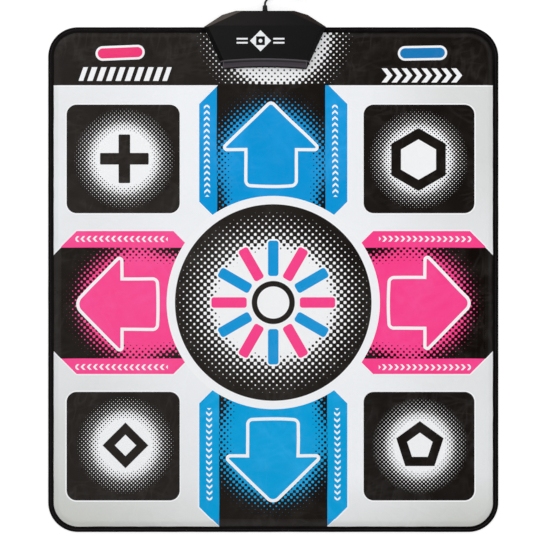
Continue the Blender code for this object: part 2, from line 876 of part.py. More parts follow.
def build_screw(name, place, head_face, length, up, frame, materials):
    """A screw with a low domed head. The head's flat underside is at head_face."""
    profile = [
        (0, -SCREW_HEAD_HEIGHT),
        (SCREW_HEAD * SCREW_HEAD_FLAT, -SCREW_HEAD_HEIGHT),
        (SCREW_HEAD, -SCREW_HEAD_HEIGHT * SCREW_HEAD_RIM),
        (SCREW_HEAD, 0),
        (SCREW_SHANK, 0),
        (SCREW_SHANK, length - SCREW_SHANK),
        (0, length),
    ]
    screw = turned(name, profile, materials["steel"], frame, SCREW_STEPS)
    screw.location = (*place, head_face)
    if not up:
        screw.rotation_euler = (math.pi, 0, 0)
    return screw


def build_board(frame, materials):
    """The circuit board with its parts, and the clamp that presses the tails on to it."""
    half = BOARD_WIDTH / 2
    far = BOARD_FRONT + BOARD_DEPTH
    top = BOARD_LEVEL + BOARD_THICK
    plan = rounded_rectangle(-half, half, BOARD_FRONT, far, BOARD_CORNER, SMALL_STEPS)
    board = plate("circuit_board", plan, BOARD_LEVEL, top, materials["board"], frame)
    rubber_low = top + 2 * SEAT + CONTACT_SHEET
    bar_low = rubber_low + CLAMP_RUBBER + SEAT
    bar_high = bar_low + CLAMP_BAR
    clamp_screws, board_screws = board_screw_places()
    holes = [circle(x, y, SCREW_SHANK + SEAT) for x, y in clamp_screws + board_screws]
    drill = guide("drill_guide", holes, BOARD_LEVEL - THROUGH, bar_high + THROUGH, frame)
    combine(board, drill, "DIFFERENCE")

    chip_y = far - CHIP_FROM_REAR
    dome = [(0, 0)]
    for step in range(DOME_STEPS + 1):
        angle = math.radians(90 * step / DOME_STEPS)
        dome.append((CHIP_RADIUS * math.cos(angle), CHIP_HEIGHT * math.sin(angle)))
    dome[-1] = (0, CHIP_HEIGHT)
    chip = turned("chip_blob", dome, materials["epoxy"], frame)
    chip.location = (0, chip_y, top + SEAT)

    crystal_plan = rounded_rectangle(
        CRYSTAL_FROM_CHIP - CRYSTAL_WIDTH / 2,
        CRYSTAL_FROM_CHIP + CRYSTAL_WIDTH / 2,
        chip_y - CRYSTAL_DEPTH / 2,
        chip_y + CRYSTAL_DEPTH / 2,
        CRYSTAL_DEPTH * ROUND_END,
        SQUARE_STEPS,
    )
    low = top + SEAT
    plate("crystal", crystal_plan, low, low + CRYSTAL_HEIGHT, materials["steel"], frame)
    can = circle(-CAPACITOR_FROM_CHIP, chip_y, CAPACITOR_RADIUS)
    plate("capacitor", can, low, low + CAPACITOR_HEIGHT, materials["epoxy"], frame)

    clamp_x, clamp_y = clamp_screws[0]
    bar_half = clamp_x + CLAMP_DEPTH / 2
    rubber_half = clamp_x - CLAMP_DEPTH / 2
    strip = rounded_rectangle(
        -rubber_half,
        rubber_half,
        clamp_y - CLAMP_DEPTH / 2,
        clamp_y + CLAMP_DEPTH / 2,
        SEAT,
        1,
    )
    plate("clamp_rubber", strip, rubber_low, bar_low - SEAT, materials["rubber"], frame)
    plan = rounded_rectangle(
        -bar_half,
        bar_half,
        clamp_y - CLAMP_DEPTH / 2,
        clamp_y + CLAMP_DEPTH / 2,
        CLAMP_DEPTH * ROUND_END,
        SQUARE_STEPS,
    )
    bar = plate("clamp_bar", plan, bar_low, bar_high, materials["shell"], frame)
    combine(bar, drill, "DIFFERENCE")
    for side, place in zip(("right", "left"), clamp_screws):
        face = bar_high + SEAT
        build_screw(f"clamp_screw_{side}", place, face, CLAMP_SCREW_LENGTH, False, frame, materials)
    for side, place in zip(("right", "left"), board_screws):
        face = top + SEAT
        build_screw(f"board_screw_{side}", place, face, BOARD_SCREW_LENGTH, False, frame, materials)


def build_housing(frame, materials):
    shells = [build_upper_shell(frame, materials), build_lower_shell(frame, materials)]
    cut_relief_hole(shells, frame)
    names = ("front_right", "front_left", "rear_right", "rear_left")
    for name, place in zip(names, screw_places()):
        face = SCREW_WELL - SEAT
        build_screw(f"housing_screw_{name}", place, face, SCREW_LENGTH, True, frame, materials)
    build_board(frame, materials)


# The cord and what is on it


def build_strain_relief(frame, materials):
    """A grooved rubber sleeve: its neck sits in the rear wall, between a flange and the sleeve."""
    neck_low = -SHELL_WALL - DRAFT - SEAT
    profile = [
        (0, neck_low - RELIEF_FLANGE_THICK),
        (RELIEF_FLANGE, neck_low - RELIEF_FLANGE_THICK),
        (RELIEF_FLANGE, neck_low),
        (RELIEF_NECK, neck_low),
        (RELIEF_NECK, SEAT),
    ]
    bands = 2 * RELIEF_GROOVE_COUNT + 1
    for band in range(bands):
        for end in (band, band + 1):
            share = end / bands
            radius = RELIEF_BASE + (RELIEF_TIP - RELIEF_BASE) * share
            radius -= RELIEF_GROOVE * (band % 2)
            profile.append((radius, SEAT + (RELIEF_LENGTH - SEAT) * share))
    profile.append((0, RELIEF_LENGTH))
    relief = turned("strain_relief", profile, materials["rubber"], frame)
    relief.location = (0, HOUSING_REAR, SHELL_SPLIT)
    relief.rotation_euler = (-math.pi / 2, 0, 0)
    inner_end = HOUSING_REAR + neck_low - RELIEF_FLANGE_THICK - SEAT
    board_far = BOARD_FRONT + BOARD_DEPTH
    board_top = BOARD_LEVEL + BOARD_THICK + SEAT + LEAD_DIAMETER / 2
    way = smooth_way(
        (
            (0, inner_end, SHELL_SPLIT),
            (0, inner_end - 2 * LEAD_DIAMETER, SHELL_SPLIT),
            (0, board_far + 2 * LEAD_DIAMETER, board_top),
            (0, board_far - LEAD_DIAMETER, board_top),
        ),
        LEAD_POINTS,
    )
    tube("inner_lead", way, LEAD_DIAMETER, materials["cord"], frame)


def coil_section():
    """The coil's inner and outer radius and its lowest and highest level, with a little slack."""
    spread = COIL_TURNS / COIL_LAYERS * COIL_PITCH / 2 + CORD_DIAMETER / 2 + COIL_SLACK
    low = TIE_THICK + SEAT
    high = low + (COIL_LAYERS - 1) * COIL_PITCH + CORD_DIAMETER + 2 * COIL_SLACK
    return COIL_MIDDLE - spread, COIL_MIDDLE + spread, low, high


def build_coil(frame, materials):
    """One ring of the outer shape of all the coil's turns, and the tie round it."""
    inner, outer, low, high = coil_section()
    profile = [
        (inner + COIL_EDGE, low),
        (outer - COIL_EDGE, low),
        (outer, low + COIL_EDGE),
        (outer, high - COIL_EDGE),
        (outer - COIL_EDGE, high),
        (inner + COIL_EDGE, high),
        (inner, high - COIL_EDGE),
        (inner, low + COIL_EDGE),
    ]
    rings = [[(*p, level) for p in circle(0, 0, r, COIL_STEPS)] for r, level in profile]
    mesh = bmesh.new()
    swept_ring(mesh, rings)
    coil = shade_round(add_object("cord_coil", mesh, materials["cord"], frame))
    coil.location = (*COIL_CENTRE, 0)

    slim = inner * math.cos(math.pi / COIL_STEPS)
    tie_left = math.sqrt(slim**2 - (TIE_WIDTH / 2) ** 2) - SEAT
    tie_right = outer + SEAT
    tie_low, tie_high = low - SEAT, high + SEAT
    rings = []
    for grow in (0, TIE_THICK):
        for y in (-TIE_WIDTH / 2, TIE_WIDTH / 2)[:: 1 if grow else -1]:
            left, right = tie_left - grow, tie_right + grow
            bottom, top = tie_low - grow, tie_high + grow
            rings.append([(left, y, bottom), (right, y, bottom), (right, y, top), (left, y, top)])
    mesh = bmesh.new()
    swept_ring(mesh, rings)
    tie = add_object("cord_tie", mesh, materials["rubber"], frame)
    tie.location = (*COIL_CENTRE, 0)


def build_plug(frame, materials):
    """A moulded plug with a flat metal shell, lying beside the coil."""
    plug = add_empty("plug_frame", (*PLUG_PLACE, PLUG_HEIGHT / 2), frame)
    heading = Vector((math.cos(PLUG_HEADING), math.sin(PLUG_HEADING), 0))
    plug.rotation_euler = heading.to_track_quat("Z", "Y").to_euler()

    def section(width, height, radius):
        return rounded_rectangle(
            -width / 2, width / 2, -height / 2, height / 2, radius, SMALL_STEPS
        )

    nose = section(PLUG_NOSE_WIDTH, PLUG_NOSE_HEIGHT, PLUG_NOSE_CORNER)
    body = section(PLUG_WIDTH, PLUG_HEIGHT, PLUG_CORNER)
    slim = inset(body, PLUG_EDGE)
    shoulder = PLUG_NOSE_LENGTH + PLUG_SHOULDER
    loft(
        "plug_body",
        [
            (nose, 0),
            (nose, PLUG_NOSE_LENGTH),
            (slim, shoulder),
            (body, shoulder + PLUG_EDGE),
            (body, PLUG_LENGTH - PLUG_EDGE),
            (slim, PLUG_LENGTH),
        ],
        materials["plug"],
        plug,
    )
    start = PLUG_LENGTH + SEAT
    end = PLUG_LENGTH + PLUG_SHELL_LENGTH
    outer = section(PLUG_SHELL_WIDTH, PLUG_SHELL_HEIGHT, PLUG_SHELL_WALL)
    hollow = inset(outer, PLUG_SHELL_WALL)
    back = start + PLUG_SHELL_WALL
    loft(
        "plug_shell",
        [(outer, start), (outer, end), (hollow, end), (hollow, back)],
        materials["steel"],
        plug,
    )
    tongue_width = PLUG_SHELL_WIDTH - 2 * (PLUG_SHELL_WALL + SEAT)
    tongue_low = -PLUG_SHELL_HEIGHT / 2 + PLUG_SHELL_WALL + SEAT
    tongue = rounded_rectangle(
        -tongue_width / 2,
        tongue_width / 2,
        tongue_low,
        tongue_low + PLUG_TONGUE_HEIGHT,
        PLUG_SHELL_WALL,
        1,
    )
    tongue_end = end - PLUG_TONGUE_SHORT
    plate("plug_tongue", tongue, back + SEAT, tongue_end, materials["epoxy"], plug)


def build_cord(frame, materials):
    """The cord's two free stretches, its coil and its plug, placed from where it leaves the relief."""
    build_strain_relief(frame, materials)
    exit_place = (0, HOUSING_REAR + RELIEF_LENGTH + SEAT, 0)
    cord = add_empty("cord_exit", exit_place, frame)
    cord_way = smooth_way(CORD_WAY, CORD_POINTS)
    plug_way = smooth_way(PLUG_WAY, PLUG_LEAD_POINTS)
    tube("cord", cord_way, CORD_DIAMETER, materials["cord"], cord)
    tube("plug_lead", plug_way, CORD_DIAMETER, materials["cord"], cord)
    build_coil(cord, materials)
    build_plug(cord, materials)


def make_materials():
    return {
        "film": make_material("printed film", (0.80, 0.82, 0.85), 0.25),
        "binding": make_material("binding tape", (0.006, 0.005, 0.005), 0.6),
        "backing": make_material("backing cloth", (0.02, 0.02, 0.022), 0.9),
        "foam": make_material("base foam", (0.55, 0.55, 0.57), 0.95),
        "spacer": make_material("spacer foam", (0.72, 0.72, 0.70), 0.95),
        "sheet": make_material("contact sheet", (0.62, 0.66, 0.66), 0.35),
        "carbon": make_material("carbon print", (0.03, 0.03, 0.035), 0.5),
        "shell": make_material("housing plastic", (0.014, 0.013, 0.013), 0.35),
        "board": make_material("circuit board", (0.02, 0.12, 0.05), 0.4),
        "epoxy": make_material("black epoxy", (0.01, 0.01, 0.01), 0.3),
        "steel": make_material("plated steel", (0.60, 0.60, 0.62), 0.3, 1.0),
        "rubber": make_material("black rubber", (0.012, 0.012, 0.012), 0.7),
        "cord": make_material("cord jacket", (0.010, 0.010, 0.010), 0.5),
        "plug": make_material("plug moulding", (0.012, 0.012, 0.012), 0.45),
    }


def main():
    for thing in list(bpy.data.objects):
        bpy.data.objects.remove(thing, do_unlink=True)
    materials = make_materials()
    mat = add_empty("mat_frame", (0, MAT_CENTRE_Y, 0))
    housing = add_empty("housing_frame", (HOUSING_OFFSET, MAT_CENTRE_Y + MAT_LENGTH / 2, 0))
    top = MAT_TOP + THROUGH
    notch = guide("notch_guide", [inset(lower_shell_plan(), -SEAT)], -THROUGH, top, housing)
    zones = zone_outlines()
    window_low = LEVELS["spacer_foam"][0] - SEAT / 2
    windows = guide("window_guide", zones.values(), window_low, top, mat)
    layers = build_layers(mat, materials, notch, windows)
    build_binding(mat, materials, notch)
    build_zones(mat, materials, zones)
    for side, sheet, layer in (
        (-1, "lower_contact_sheet", "lower_sheet"),
        (1, "upper_contact_sheet", "upper_sheet"),
    ):
        middle = side * TAIL_SPACING / 2
        level = LEVELS[layer][0]
        build_tail(layers[sheet], level, middle, layer, housing, materials["sheet"])
    build_housing(housing, materials)
    build_cord(housing, materials)


main()
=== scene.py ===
# %% [markdown]
# # A dance mat controller, from its solids to its looks
#
# The mat is a sewn sandwich: a glossy printed film on top, foam and contact sheets inside, a
# non-slip cloth below, and black tape round the rim. A moulded housing sits on the far edge, with
# a cord at its back. The frame holds the solids of all of these, and this lesson gives each its
# surface: the cord, the soft layers, the print, the housing, and last the light.

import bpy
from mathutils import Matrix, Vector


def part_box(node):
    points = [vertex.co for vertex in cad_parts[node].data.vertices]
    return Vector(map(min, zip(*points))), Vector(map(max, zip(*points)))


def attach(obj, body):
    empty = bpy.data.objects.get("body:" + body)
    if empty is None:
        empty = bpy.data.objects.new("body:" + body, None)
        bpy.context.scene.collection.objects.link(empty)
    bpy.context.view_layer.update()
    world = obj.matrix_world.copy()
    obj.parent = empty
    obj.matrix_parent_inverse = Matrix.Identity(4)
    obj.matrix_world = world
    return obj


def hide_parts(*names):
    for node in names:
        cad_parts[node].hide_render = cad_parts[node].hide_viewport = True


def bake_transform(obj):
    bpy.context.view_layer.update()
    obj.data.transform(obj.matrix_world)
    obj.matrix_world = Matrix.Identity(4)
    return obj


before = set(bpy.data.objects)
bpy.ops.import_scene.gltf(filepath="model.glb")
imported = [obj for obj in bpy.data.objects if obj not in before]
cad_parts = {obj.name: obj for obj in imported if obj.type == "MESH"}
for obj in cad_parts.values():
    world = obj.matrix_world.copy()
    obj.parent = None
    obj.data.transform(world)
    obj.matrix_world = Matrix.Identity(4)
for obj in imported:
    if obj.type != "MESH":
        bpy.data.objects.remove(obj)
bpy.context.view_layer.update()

# %% Modules and units
import math

import bmesh
import bpy
import numpy as np
from mathutils import Vector, noise
from mathutils.geometry import delaunay_2d_cdt

MM = 0.001
SEAT = 0.3  # the gap between touching solids, in millimetres like every size below
TURN = 2 * math.pi

# %% [markdown]
# The mat is laid out from its own middle, and the housing and the cord from the middle of the
# mat's far edge. The frame says where those two middles are.

# %% The two middles that everything is laid out from
binding_low, binding_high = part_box("edge_binding")
shell_low, shell_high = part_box("housing_top")
MAT_PLACE = (0.0, (binding_low.y + binding_high.y) / 2 / MM)
HOUSING_PLACE = ((shell_low.x + shell_high.x) / 2 / MM, binding_high.y / MM)
HALF_WIDTH = (binding_high.x - binding_low.x) / 2 / MM
HALF_LENGTH = (binding_high.y - binding_low.y) / 2 / MM
print(f"The mat is {2 * HALF_WIDTH:.1f} by {2 * HALF_LENGTH:.1f} mm")

# %% [markdown]
# The photograph looks straight down from far away. A long lens far above the mat gives that
# view, and its length follows from the width that the picture shows at the mat's level.

# %% Camera
PHOTO_PIXELS = 544
MM_PER_PIXEL = 1.8120
CAMERA_HEIGHT = 5000.0
VIEW_MIDDLE = (-2.3, -0.7)

camera_data = bpy.data.cameras.new("camera")
camera_data.sensor_width = 36.0
camera_data.lens = camera_data.sensor_width * CAMERA_HEIGHT / (PHOTO_PIXELS * MM_PER_PIXEL)
camera_data.clip_end = 60.0


def linked(name, data):
    made = bpy.data.objects.new(name, data)
    bpy.context.scene.collection.objects.link(made)
    return made


camera = linked("camera", camera_data)
camera.location = (VIEW_MIDDLE[0] * MM, VIEW_MIDDLE[1] * MM, CAMERA_HEIGHT * MM)
bpy.context.scene.camera = camera
print(f"The lens is {camera_data.lens:.0f} mm long")

# %% [markdown]
# Every piece is made and tied to its body in the same way, so helpers do it. Sizes stay in
# millimetres until a mesh is made. A curve, or a tree of Geometry Nodes run on one, is turned into
# a plain mesh, because neither may stay on a finished piece.

# %% Helpers that make a piece
def in_metres(points, place):
    """Points in metres, from millimetres about a place in plan."""
    return [((x + place[0]) * MM, (y + place[1]) * MM, z * MM) for x, y, z in points]


def piece_of(mesh, name, slot, stands_for, body="mat", sharp=32):
    """A finished object at the origin, smooth apart from edges sharper than so many degrees."""
    mesh.name = name
    mesh.shade_smooth()
    mesh.set_sharp_from_angle(angle=math.radians(sharp))
    piece = linked(name, mesh)
    if stands_for:
        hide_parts(*stands_for)
    if body is not None:
        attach(piece, body)
    return piece


def make_piece(name, points, faces, place, slot, stands_for, body="mat"):
    mesh = bpy.data.meshes.new(name)
    mesh.from_pydata(in_metres(points, place), [], faces)
    return piece_of(mesh, name, slot, stands_for, body)


def line_curve(name, *ways):
    """A curve with one straight-sided spline through the points of each way."""
    curve = bpy.data.curves.new(name, "CURVE")
    curve.dimensions = "3D"
    for way in ways:
        spline = curve.splines.new("POLY")
        spline.points.add(len(way) - 1)
        for spot, place in zip(spline.points, way):
            spot.co = (*place, 1)
    return curve


def plain_mesh(data, tree=None, inputs=()):
    """The mesh that a curve comes to, or that a tree makes of a curve or mesh."""
    seed = linked("seed", data)
    if tree:
        modifier = seed.modifiers.new("repeat", "NODES")
        modifier.node_group = tree
        for item in tree.interface.items_tree:
            if item.in_out == "INPUT" and item.name in inputs:
                modifier[item.identifier] = inputs[item.name]
    graph = bpy.context.evaluated_depsgraph_get()
    mesh = bpy.data.meshes.new_from_object(seed.evaluated_get(graph), depsgraph=graph)
    bpy.data.objects.remove(seed)
    return mesh


# %% [markdown]
# ## The cord
#
# The real cord is one black lead, about 4 mm thick and 1.8 m long. It leaves its strain relief,
# bends down to the floor and goes out of the picture. The rest lies in a coil behind the housing
# and ends in a plug. One curve follows the whole way, so that the cord has its real length.

# %% The cord's sizes and its way, from where it leaves the relief
CORD_DIAMETER = 4.0
RELIEF_LENGTH = 10.0
HOUSING_REAR = 29.0
CORD_EXIT = (HOUSING_PLACE[0], HOUSING_PLACE[1] + HOUSING_REAR + RELIEF_LENGTH + SEAT)
CORD_WAY = (
    (0.0, 0.0, 7.55), (0.2, 3.5, 7.50), (1.6, 7.3, 7.00), (4.8, 11.2, 5.90), (9.8, 14.6, 4.40),
    (16.8, 16.9, 3.10), (26.0, 17.8, 2.40), (35.0, 17.8, 2.50), (43.6, 17.8, 3.00),
)
PLUG_WAY = (
    (43.6, 74.6, 15.20), (38.0, 73.8, 13.20), (32.0, 71.2, 9.60), (26.2, 66.8, 5.80), (22.0, 62.8, 4.10),
)
COIL_MIDDLE = (60.0, 46.2)
COIL_TURNS = 12.5
COIL_LAYERS = 4
COIL_RADIUS = 22.0
COIL_PITCH = 4.08
COIL_SPREAD = COIL_TURNS / COIL_LAYERS * COIL_PITCH / 2  # from its middle radius, either way
COIL_LOW = 3.0
TURN_POINTS = 24
CLIMB_SHARE = 0.06  # of one layer's way, spent on climbing to the next layer
WAY_POINTS = 4  # between two chosen points


def smooth_way(points, between):
    """Points along a smooth curve through the chosen points."""
    spots = [Vector(point) for point in points]
    spots = [2 * spots[0] - spots[1], *spots, 2 * spots[-1] - spots[-2]]
    way = []
    for a, b, c, d in zip(spots, spots[1:], spots[2:], spots[3:]):
        for t in (step / between for step in range(between)):
            bend = (2 * a - 5 * b + 4 * c - d) * t**2 + (3 * b - a - 3 * c + d) * t**3
            way.append(b + ((c - a) * t + bend) / 2)
    return way + [spots[-2]]


def coil_turns():
    """The coil's points: each layer runs in or out by a pitch a turn, then climbs."""
    points = []
    steps = int(COIL_TURNS * TURN_POINTS)
    for step in range(steps + 1):
        done = step / steps * COIL_LAYERS
        layer = min(int(done), COIL_LAYERS - 1)
        share = done - layer
        inward = 1 - 2 * share if layer % 2 == 0 else 2 * share - 1
        radius = COIL_RADIUS + COIL_SPREAD * inward
        climb = min(max((share - 1 + CLIMB_SHARE) / CLIMB_SHARE, 0), 1)
        level = COIL_LOW + COIL_PITCH * (layer + (climb if layer < COIL_LAYERS - 1 else 0))
        angle = TURN * (step / TURN_POINTS - 0.25)
        x, y = radius * math.cos(angle), radius * math.sin(angle)
        points.append(Vector((COIL_MIDDLE[0] + x, COIL_MIDDLE[1] + y, level)))
    return points


cord_points = smooth_way(CORD_WAY, WAY_POINTS) + coil_turns() + smooth_way(PLUG_WAY, WAY_POINTS)
cord_path = in_metres(cord_points, CORD_EXIT)
cord_line = line_curve("cord_line", cord_path)
cord_line.bevel_depth = CORD_DIAMETER / 2 * MM
cord_line.bevel_resolution = 4
cord_line.use_fill_caps = True
cord_nodes = ["cord", "cord_coil", "plug_lead"]
cord_lead = piece_of(plain_mesh(cord_line), "cord_lead", "cord", cord_nodes, sharp=180)
cord_length = sum((b - a).length for a, b in zip(cord_points, cord_points[1:]))
print(f"The cord is {cord_length / 1000:.3f} m long in {len(cord_points)} points")

# %% [markdown]
# ## How a finish is written
#
# Colour, gloss and relief come from shader nodes, and two small classes keep them short. A Reading
# is a value that varies over a surface: adding or multiplying readings adds the Math nodes. A
# Recipe is a node tree, and its one method makes any node from its type, settings and values.

# %% Readings
def operator(operation):
    return lambda self, other: self.maths(operation, other)


class Reading:
    """A value that varies over a surface. Python's operators on it add Math nodes."""

    __add__ = __radd__ = operator("ADD")
    __mul__ = __rmul__ = operator("MULTIPLY")
    __sub__ = operator("SUBTRACT")
    __truediv__ = operator("DIVIDE")
    least = operator("MINIMUM")
    most = operator("MAXIMUM")

    def __init__(self, recipe, socket):
        self.recipe = recipe
        self.socket = socket

    def other(self, output):
        """Another output of the same node."""
        return Reading(self.recipe, self.socket.node.outputs[output])

    def maths(self, operation, *others, clamp=False):
        return self.recipe.maths(operation, self, *others, clamp=clamp)

    def __rsub__(self, other):
        return self.recipe.maths("SUBTRACT", other, self)

    def __abs__(self):
        return self.maths("ABSOLUTE")

    def rise(self, start, width):
        """0 up to the start, and then 1 more for each width; a minus width rises downwards."""
        return ((self - start) / width).most(0.0)

    def ramp(self, start, width):
        """From 0 to 1 over a width."""
        return self.rise(start, width).least(1.0)

    def inked(self, softness=0.25):
        """1 where the reading is above nought and 0 below, with a soft edge."""
        return self.maths("MULTIPLY_ADD", 0.5 / softness, 0.5, clamp=True)


# %% Recipes
class Recipe:
    """A node tree in which one method makes any node."""

    def __init__(self, tree):
        self.tree = tree

    def feed(self, socket, value):
        if isinstance(value, Reading):
            self.tree.links.new(value.socket, socket)
        else:
            socket.default_value = value

    def node(self, kind, settings=None, values=None, output=0):
        made = self.tree.nodes.new(kind)
        for name, setting in (settings or {}).items():
            setattr(made, name, setting)
        for socket, value in (values or {}).items():
            self.feed(made.inputs[socket], value)
        return Reading(self, made.outputs[output]) if made.outputs else None

    def maths(self, operation, *values, clamp=False):
        settings = {"operation": operation, "use_clamp": clamp}
        return self.node("ShaderNodeMath", settings, dict(enumerate(values)))


# %% [markdown]
# A finish is a recipe for one material. It reads Object coordinates, which stay with the piece,
# and offers what most finishes need: noise of a size in millimetres, one colour laid over
# another, and a relief that tilts the light.

# %% Finishes
def seen(red, green, blue):
    """A colour as a screen shows it, from 0 to 255, in the linear values that shaders use."""
    shares = [value / 255 for value in (red, green, blue)]
    linear = [s / 12.92 if s <= 0.04045 else ((s + 0.055) / 1.055) ** 2.4 for s in shares]
    return (*linear, 1.0)


class Finish(Recipe):
    """A material: a Principled shader, and the nodes that feed it."""

    def __init__(self, name, ground=None):
        self.material = bpy.data.materials.new(name)
        self.material.use_nodes = True
        super().__init__(self.material.node_tree)
        self.shader = self.tree.nodes["Principled BSDF"]
        self.point = self.node("ShaderNodeTexCoord", output="Object")
        self.colour = ground

    def plan(self, place):
        """The point's x and y in millimetres from a place in plan."""
        parts = self.node("ShaderNodeSeparateXYZ", values={0: self.point})
        return parts * 1000 - place[0], parts.other("Y") * 1000 - place[1]

    def grain(self, size, detail=2.0, distortion=0.0):
        """Noise from 0 to 1, whose features are about size millimetres across."""
        sizes = {"Scale": 1 / (size * MM), "Detail": detail, "Distortion": distortion}
        return self.node("ShaderNodeTexNoise", values={"Vector": self.point, **sizes})

    def cells(self, size):
        """Distance within cells about size millimetres across."""
        values = {"Vector": self.point, "Scale": 1 / (size * MM)}
        return self.node("ShaderNodeTexVoronoi", values=values, output="Distance")

    def mix(self, mask, under, over):
        """One colour laid over another where the mask is 1."""
        values = {0: mask, 6: under, 7: over}
        return self.node("ShaderNodeMix", {"data_type": "RGBA"}, values, 2)

    def lay(self, mask, ink):
        self.colour = self.mix(mask, self.colour, ink)

    def relief(self, height):
        """The tilt of a surface with this height in millimetres."""
        return self.node("ShaderNodeBump", values={"Height": height, "Distance": MM})

    def wear(self, **sockets):
        """Feed the shader, with Base_Color for its Base Color socket and so on."""
        for name, value in sockets.items():
            self.feed(self.shader.inputs[name.replace("_", " ")], value)
        return self.material


def dress(piece, material):
    piece.data.materials.clear()
    piece.data.materials.append(material)


# %% [markdown]
# The cord's jacket is soft black plastic: nearly smooth, a little dusty, and never quite black.
# Other numbers in the same recipe give the plug's moulding, the rubber and the board's parts.

# %% A recipe for moulded and rubbery pieces
DUST_SIZE = 14.0


def moulded(name, colour, dusty, roughness, grain_size, grain_height, metallic=0.0):
    """A colour that turns a little dusty in places, under a fine grain."""
    finish = Finish(name)
    dust = finish.grain(DUST_SIZE, detail=4.0)
    fine = finish.grain(grain_size, detail=3.0)
    return finish.wear(
        Base_Color=finish.mix(dust * 0.6, colour, dusty),
        Roughness=roughness - 0.08 + dust * 0.16,
        Metallic=metallic,
        Normal=finish.relief(fine * grain_height),
    )


jacket = moulded("cord_jacket", seen(22, 21, 21), seen(40, 38, 37), 0.46, 1.2, 0.03)
dress(cord_lead, jacket)

# %% [markdown]
# ## The mat's plan
#
# On the real mat the film is one printed sheet whose ten step zones give under a foot. Here the zones are
# patches of their own, cut along the print. Squares and keys take their outlines from the frame's boxes. An
# arrow panel has toes on the ring and a chamfered outer end, so a function draws it once and turns it.

# %% Sizes of the film's plan
MAT_CORNER = 54.0
RING_RADIUS = 193.0
ARC_STEPS = 28
CORNER_STEPS = 10
SQUARE_CORNER = 18.0
KEY_CORNER = 12.0
# Each panel's chamfer at its toes and at its outer end, and its quarter turns from the far way
PANEL_CUTS = {"up": (24.0, 36.0, 0), "down": (24.0, 22.0, 2)}
PANEL_CUTS |= {"left": (21.0, 28.0, 1), "right": (21.0, 28.0, 3)}
UPRIGHT = ("up", "down")
SQUARES = ("top_left", "top_right", "bottom_left", "bottom_right")
KEYS = ("select", "start")


def rounded_rectangle(left, right, near, far, radius, steps=CORNER_STEPS):
    xs, ys = (left + radius, right - radius), (near + radius, far - radius)
    points = []
    for x, y, start in ((xs[1], ys[0], -90), (xs[1], ys[1], 0), (xs[0], ys[1], 90), (xs[0], ys[0], 180)):
        for step in range(steps + 1):
            angle = math.radians(start + 90 * step / steps)
            points.append((x + radius * math.cos(angle), y + radius * math.sin(angle)))
    return points


def zone_box(zone):
    """The zone's left, right, near and far lines from the mat's middle."""
    low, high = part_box(f"{zone}_cover")
    left, near = low.x / MM - MAT_PLACE[0] - SEAT, low.y / MM - MAT_PLACE[1] - SEAT
    return left, high.x / MM - MAT_PLACE[0] + SEAT, near, high.y / MM - MAT_PLACE[1] + SEAT


DISC_Y = sum(zone_box("left_step")[2:]) / 2


def arrow_panel(way):
    """A panel's outline: it points from the ring along its way."""
    left, right, near, far = zone_box(f"{way}_step")
    half_width = (right - left) / 2 if way in UPRIGHT else (far - near) / 2
    reach = {"up": far - DISC_Y, "down": DISC_Y - near, "left": -left, "right": right}[way]
    toe_chamfer, end_chamfer, quarters = PANEL_CUTS[way]
    toe = math.asin((half_width - toe_chamfer) / RING_RADIUS)
    side = [(half_width, RING_RADIUS * math.cos(toe) + toe_chamfer)]
    side += [(half_width, reach - end_chamfer), (half_width - end_chamfer, reach)]
    outline = side + [(-x, y) for x, y in reversed(side)]
    for step in range(ARC_STEPS + 1):
        angle = toe * (2 * step / ARC_STEPS - 1)
        outline.append((RING_RADIUS * math.sin(angle), RING_RADIUS * math.cos(angle)))
    for _ in range(quarters):
        outline = [(-y, x) for x, y in outline]
    return [(x, y + DISC_Y) for x, y in outline]


zones = {f"{way}_step": arrow_panel(way) for way in PANEL_CUTS}
zones |= {f"{s}_step": rounded_rectangle(*zone_box(f"{s}_step"), SQUARE_CORNER) for s in SQUARES}
zones |= {f"{key}_key": rounded_rectangle(*zone_box(f"{key}_key"), KEY_CORNER) for key in KEYS}
print(f"{len(zones)} zones, and the disc's middle at y = {DISC_Y:.2f} mm")

# %% [markdown]
# The tape squeezes the sandwich flat, so the film leaves it low, rises to its full height within
# a finger's width, and puckers near the stitches. The rest lies almost flat, with slow swells that
# show only in its shine. Each zone bulges by less than a millimetre, and a foot presses that flat.

# %% Sizes of the film's heights
BINDING_WIDTH = 10.0
PILLOW_WIDTH = 11.0
FILM_THICK = 0.8
TUCK = 5.0  # the film's hidden edge, from the mat's edge
RIM_LEVEL = 3.0
MAT_TOP = 7.4
SWELL = 0.25
SWELL_SUM = 1.6
SWELL_START = (20.0, 30.0)  # where swells start, from the mat's edge, and how far they take to grow
PUCKER = 0.55
PUCKER_SIZE = 15
PUCKER_SPAN = ((11.0, 6.0), (40.0, -22.0))  # where puckers grow and where they fade, inwards
CALM = 25.0  # how far the film lies flat beside a zone and the housing
BULGE = 0.9
BULGE_WIDTH = 48.0
BULGE_SHARE = 0.4  # of a small zone's depth
HOUSING_HALF = 110.5
HOUSING_FRONT = 77.0
# Each swell's length, heading and start
WAVES = ((173, 20, 0.4), (131, 75, 2.1), (97, 130, 4.4), (149, 110, 1.3), (83, 50, 5.2))

# %% Distances in plan
def ramp(value, start, width):
    """Softly from 0 to 1 over a width."""
    share = np.clip((value - start) / width, 0, 1)
    return share * share * (3 - 2 * share)


def rim_depth(points):
    """How far each point lies inside the mat's edge."""
    reach = np.abs(points) - np.array((HALF_WIDTH, HALF_LENGTH)) + MAT_CORNER
    outside = np.linalg.norm(np.maximum(reach, 0), axis=1)
    return MAT_CORNER - outside - np.minimum(reach.max(axis=1), 0)


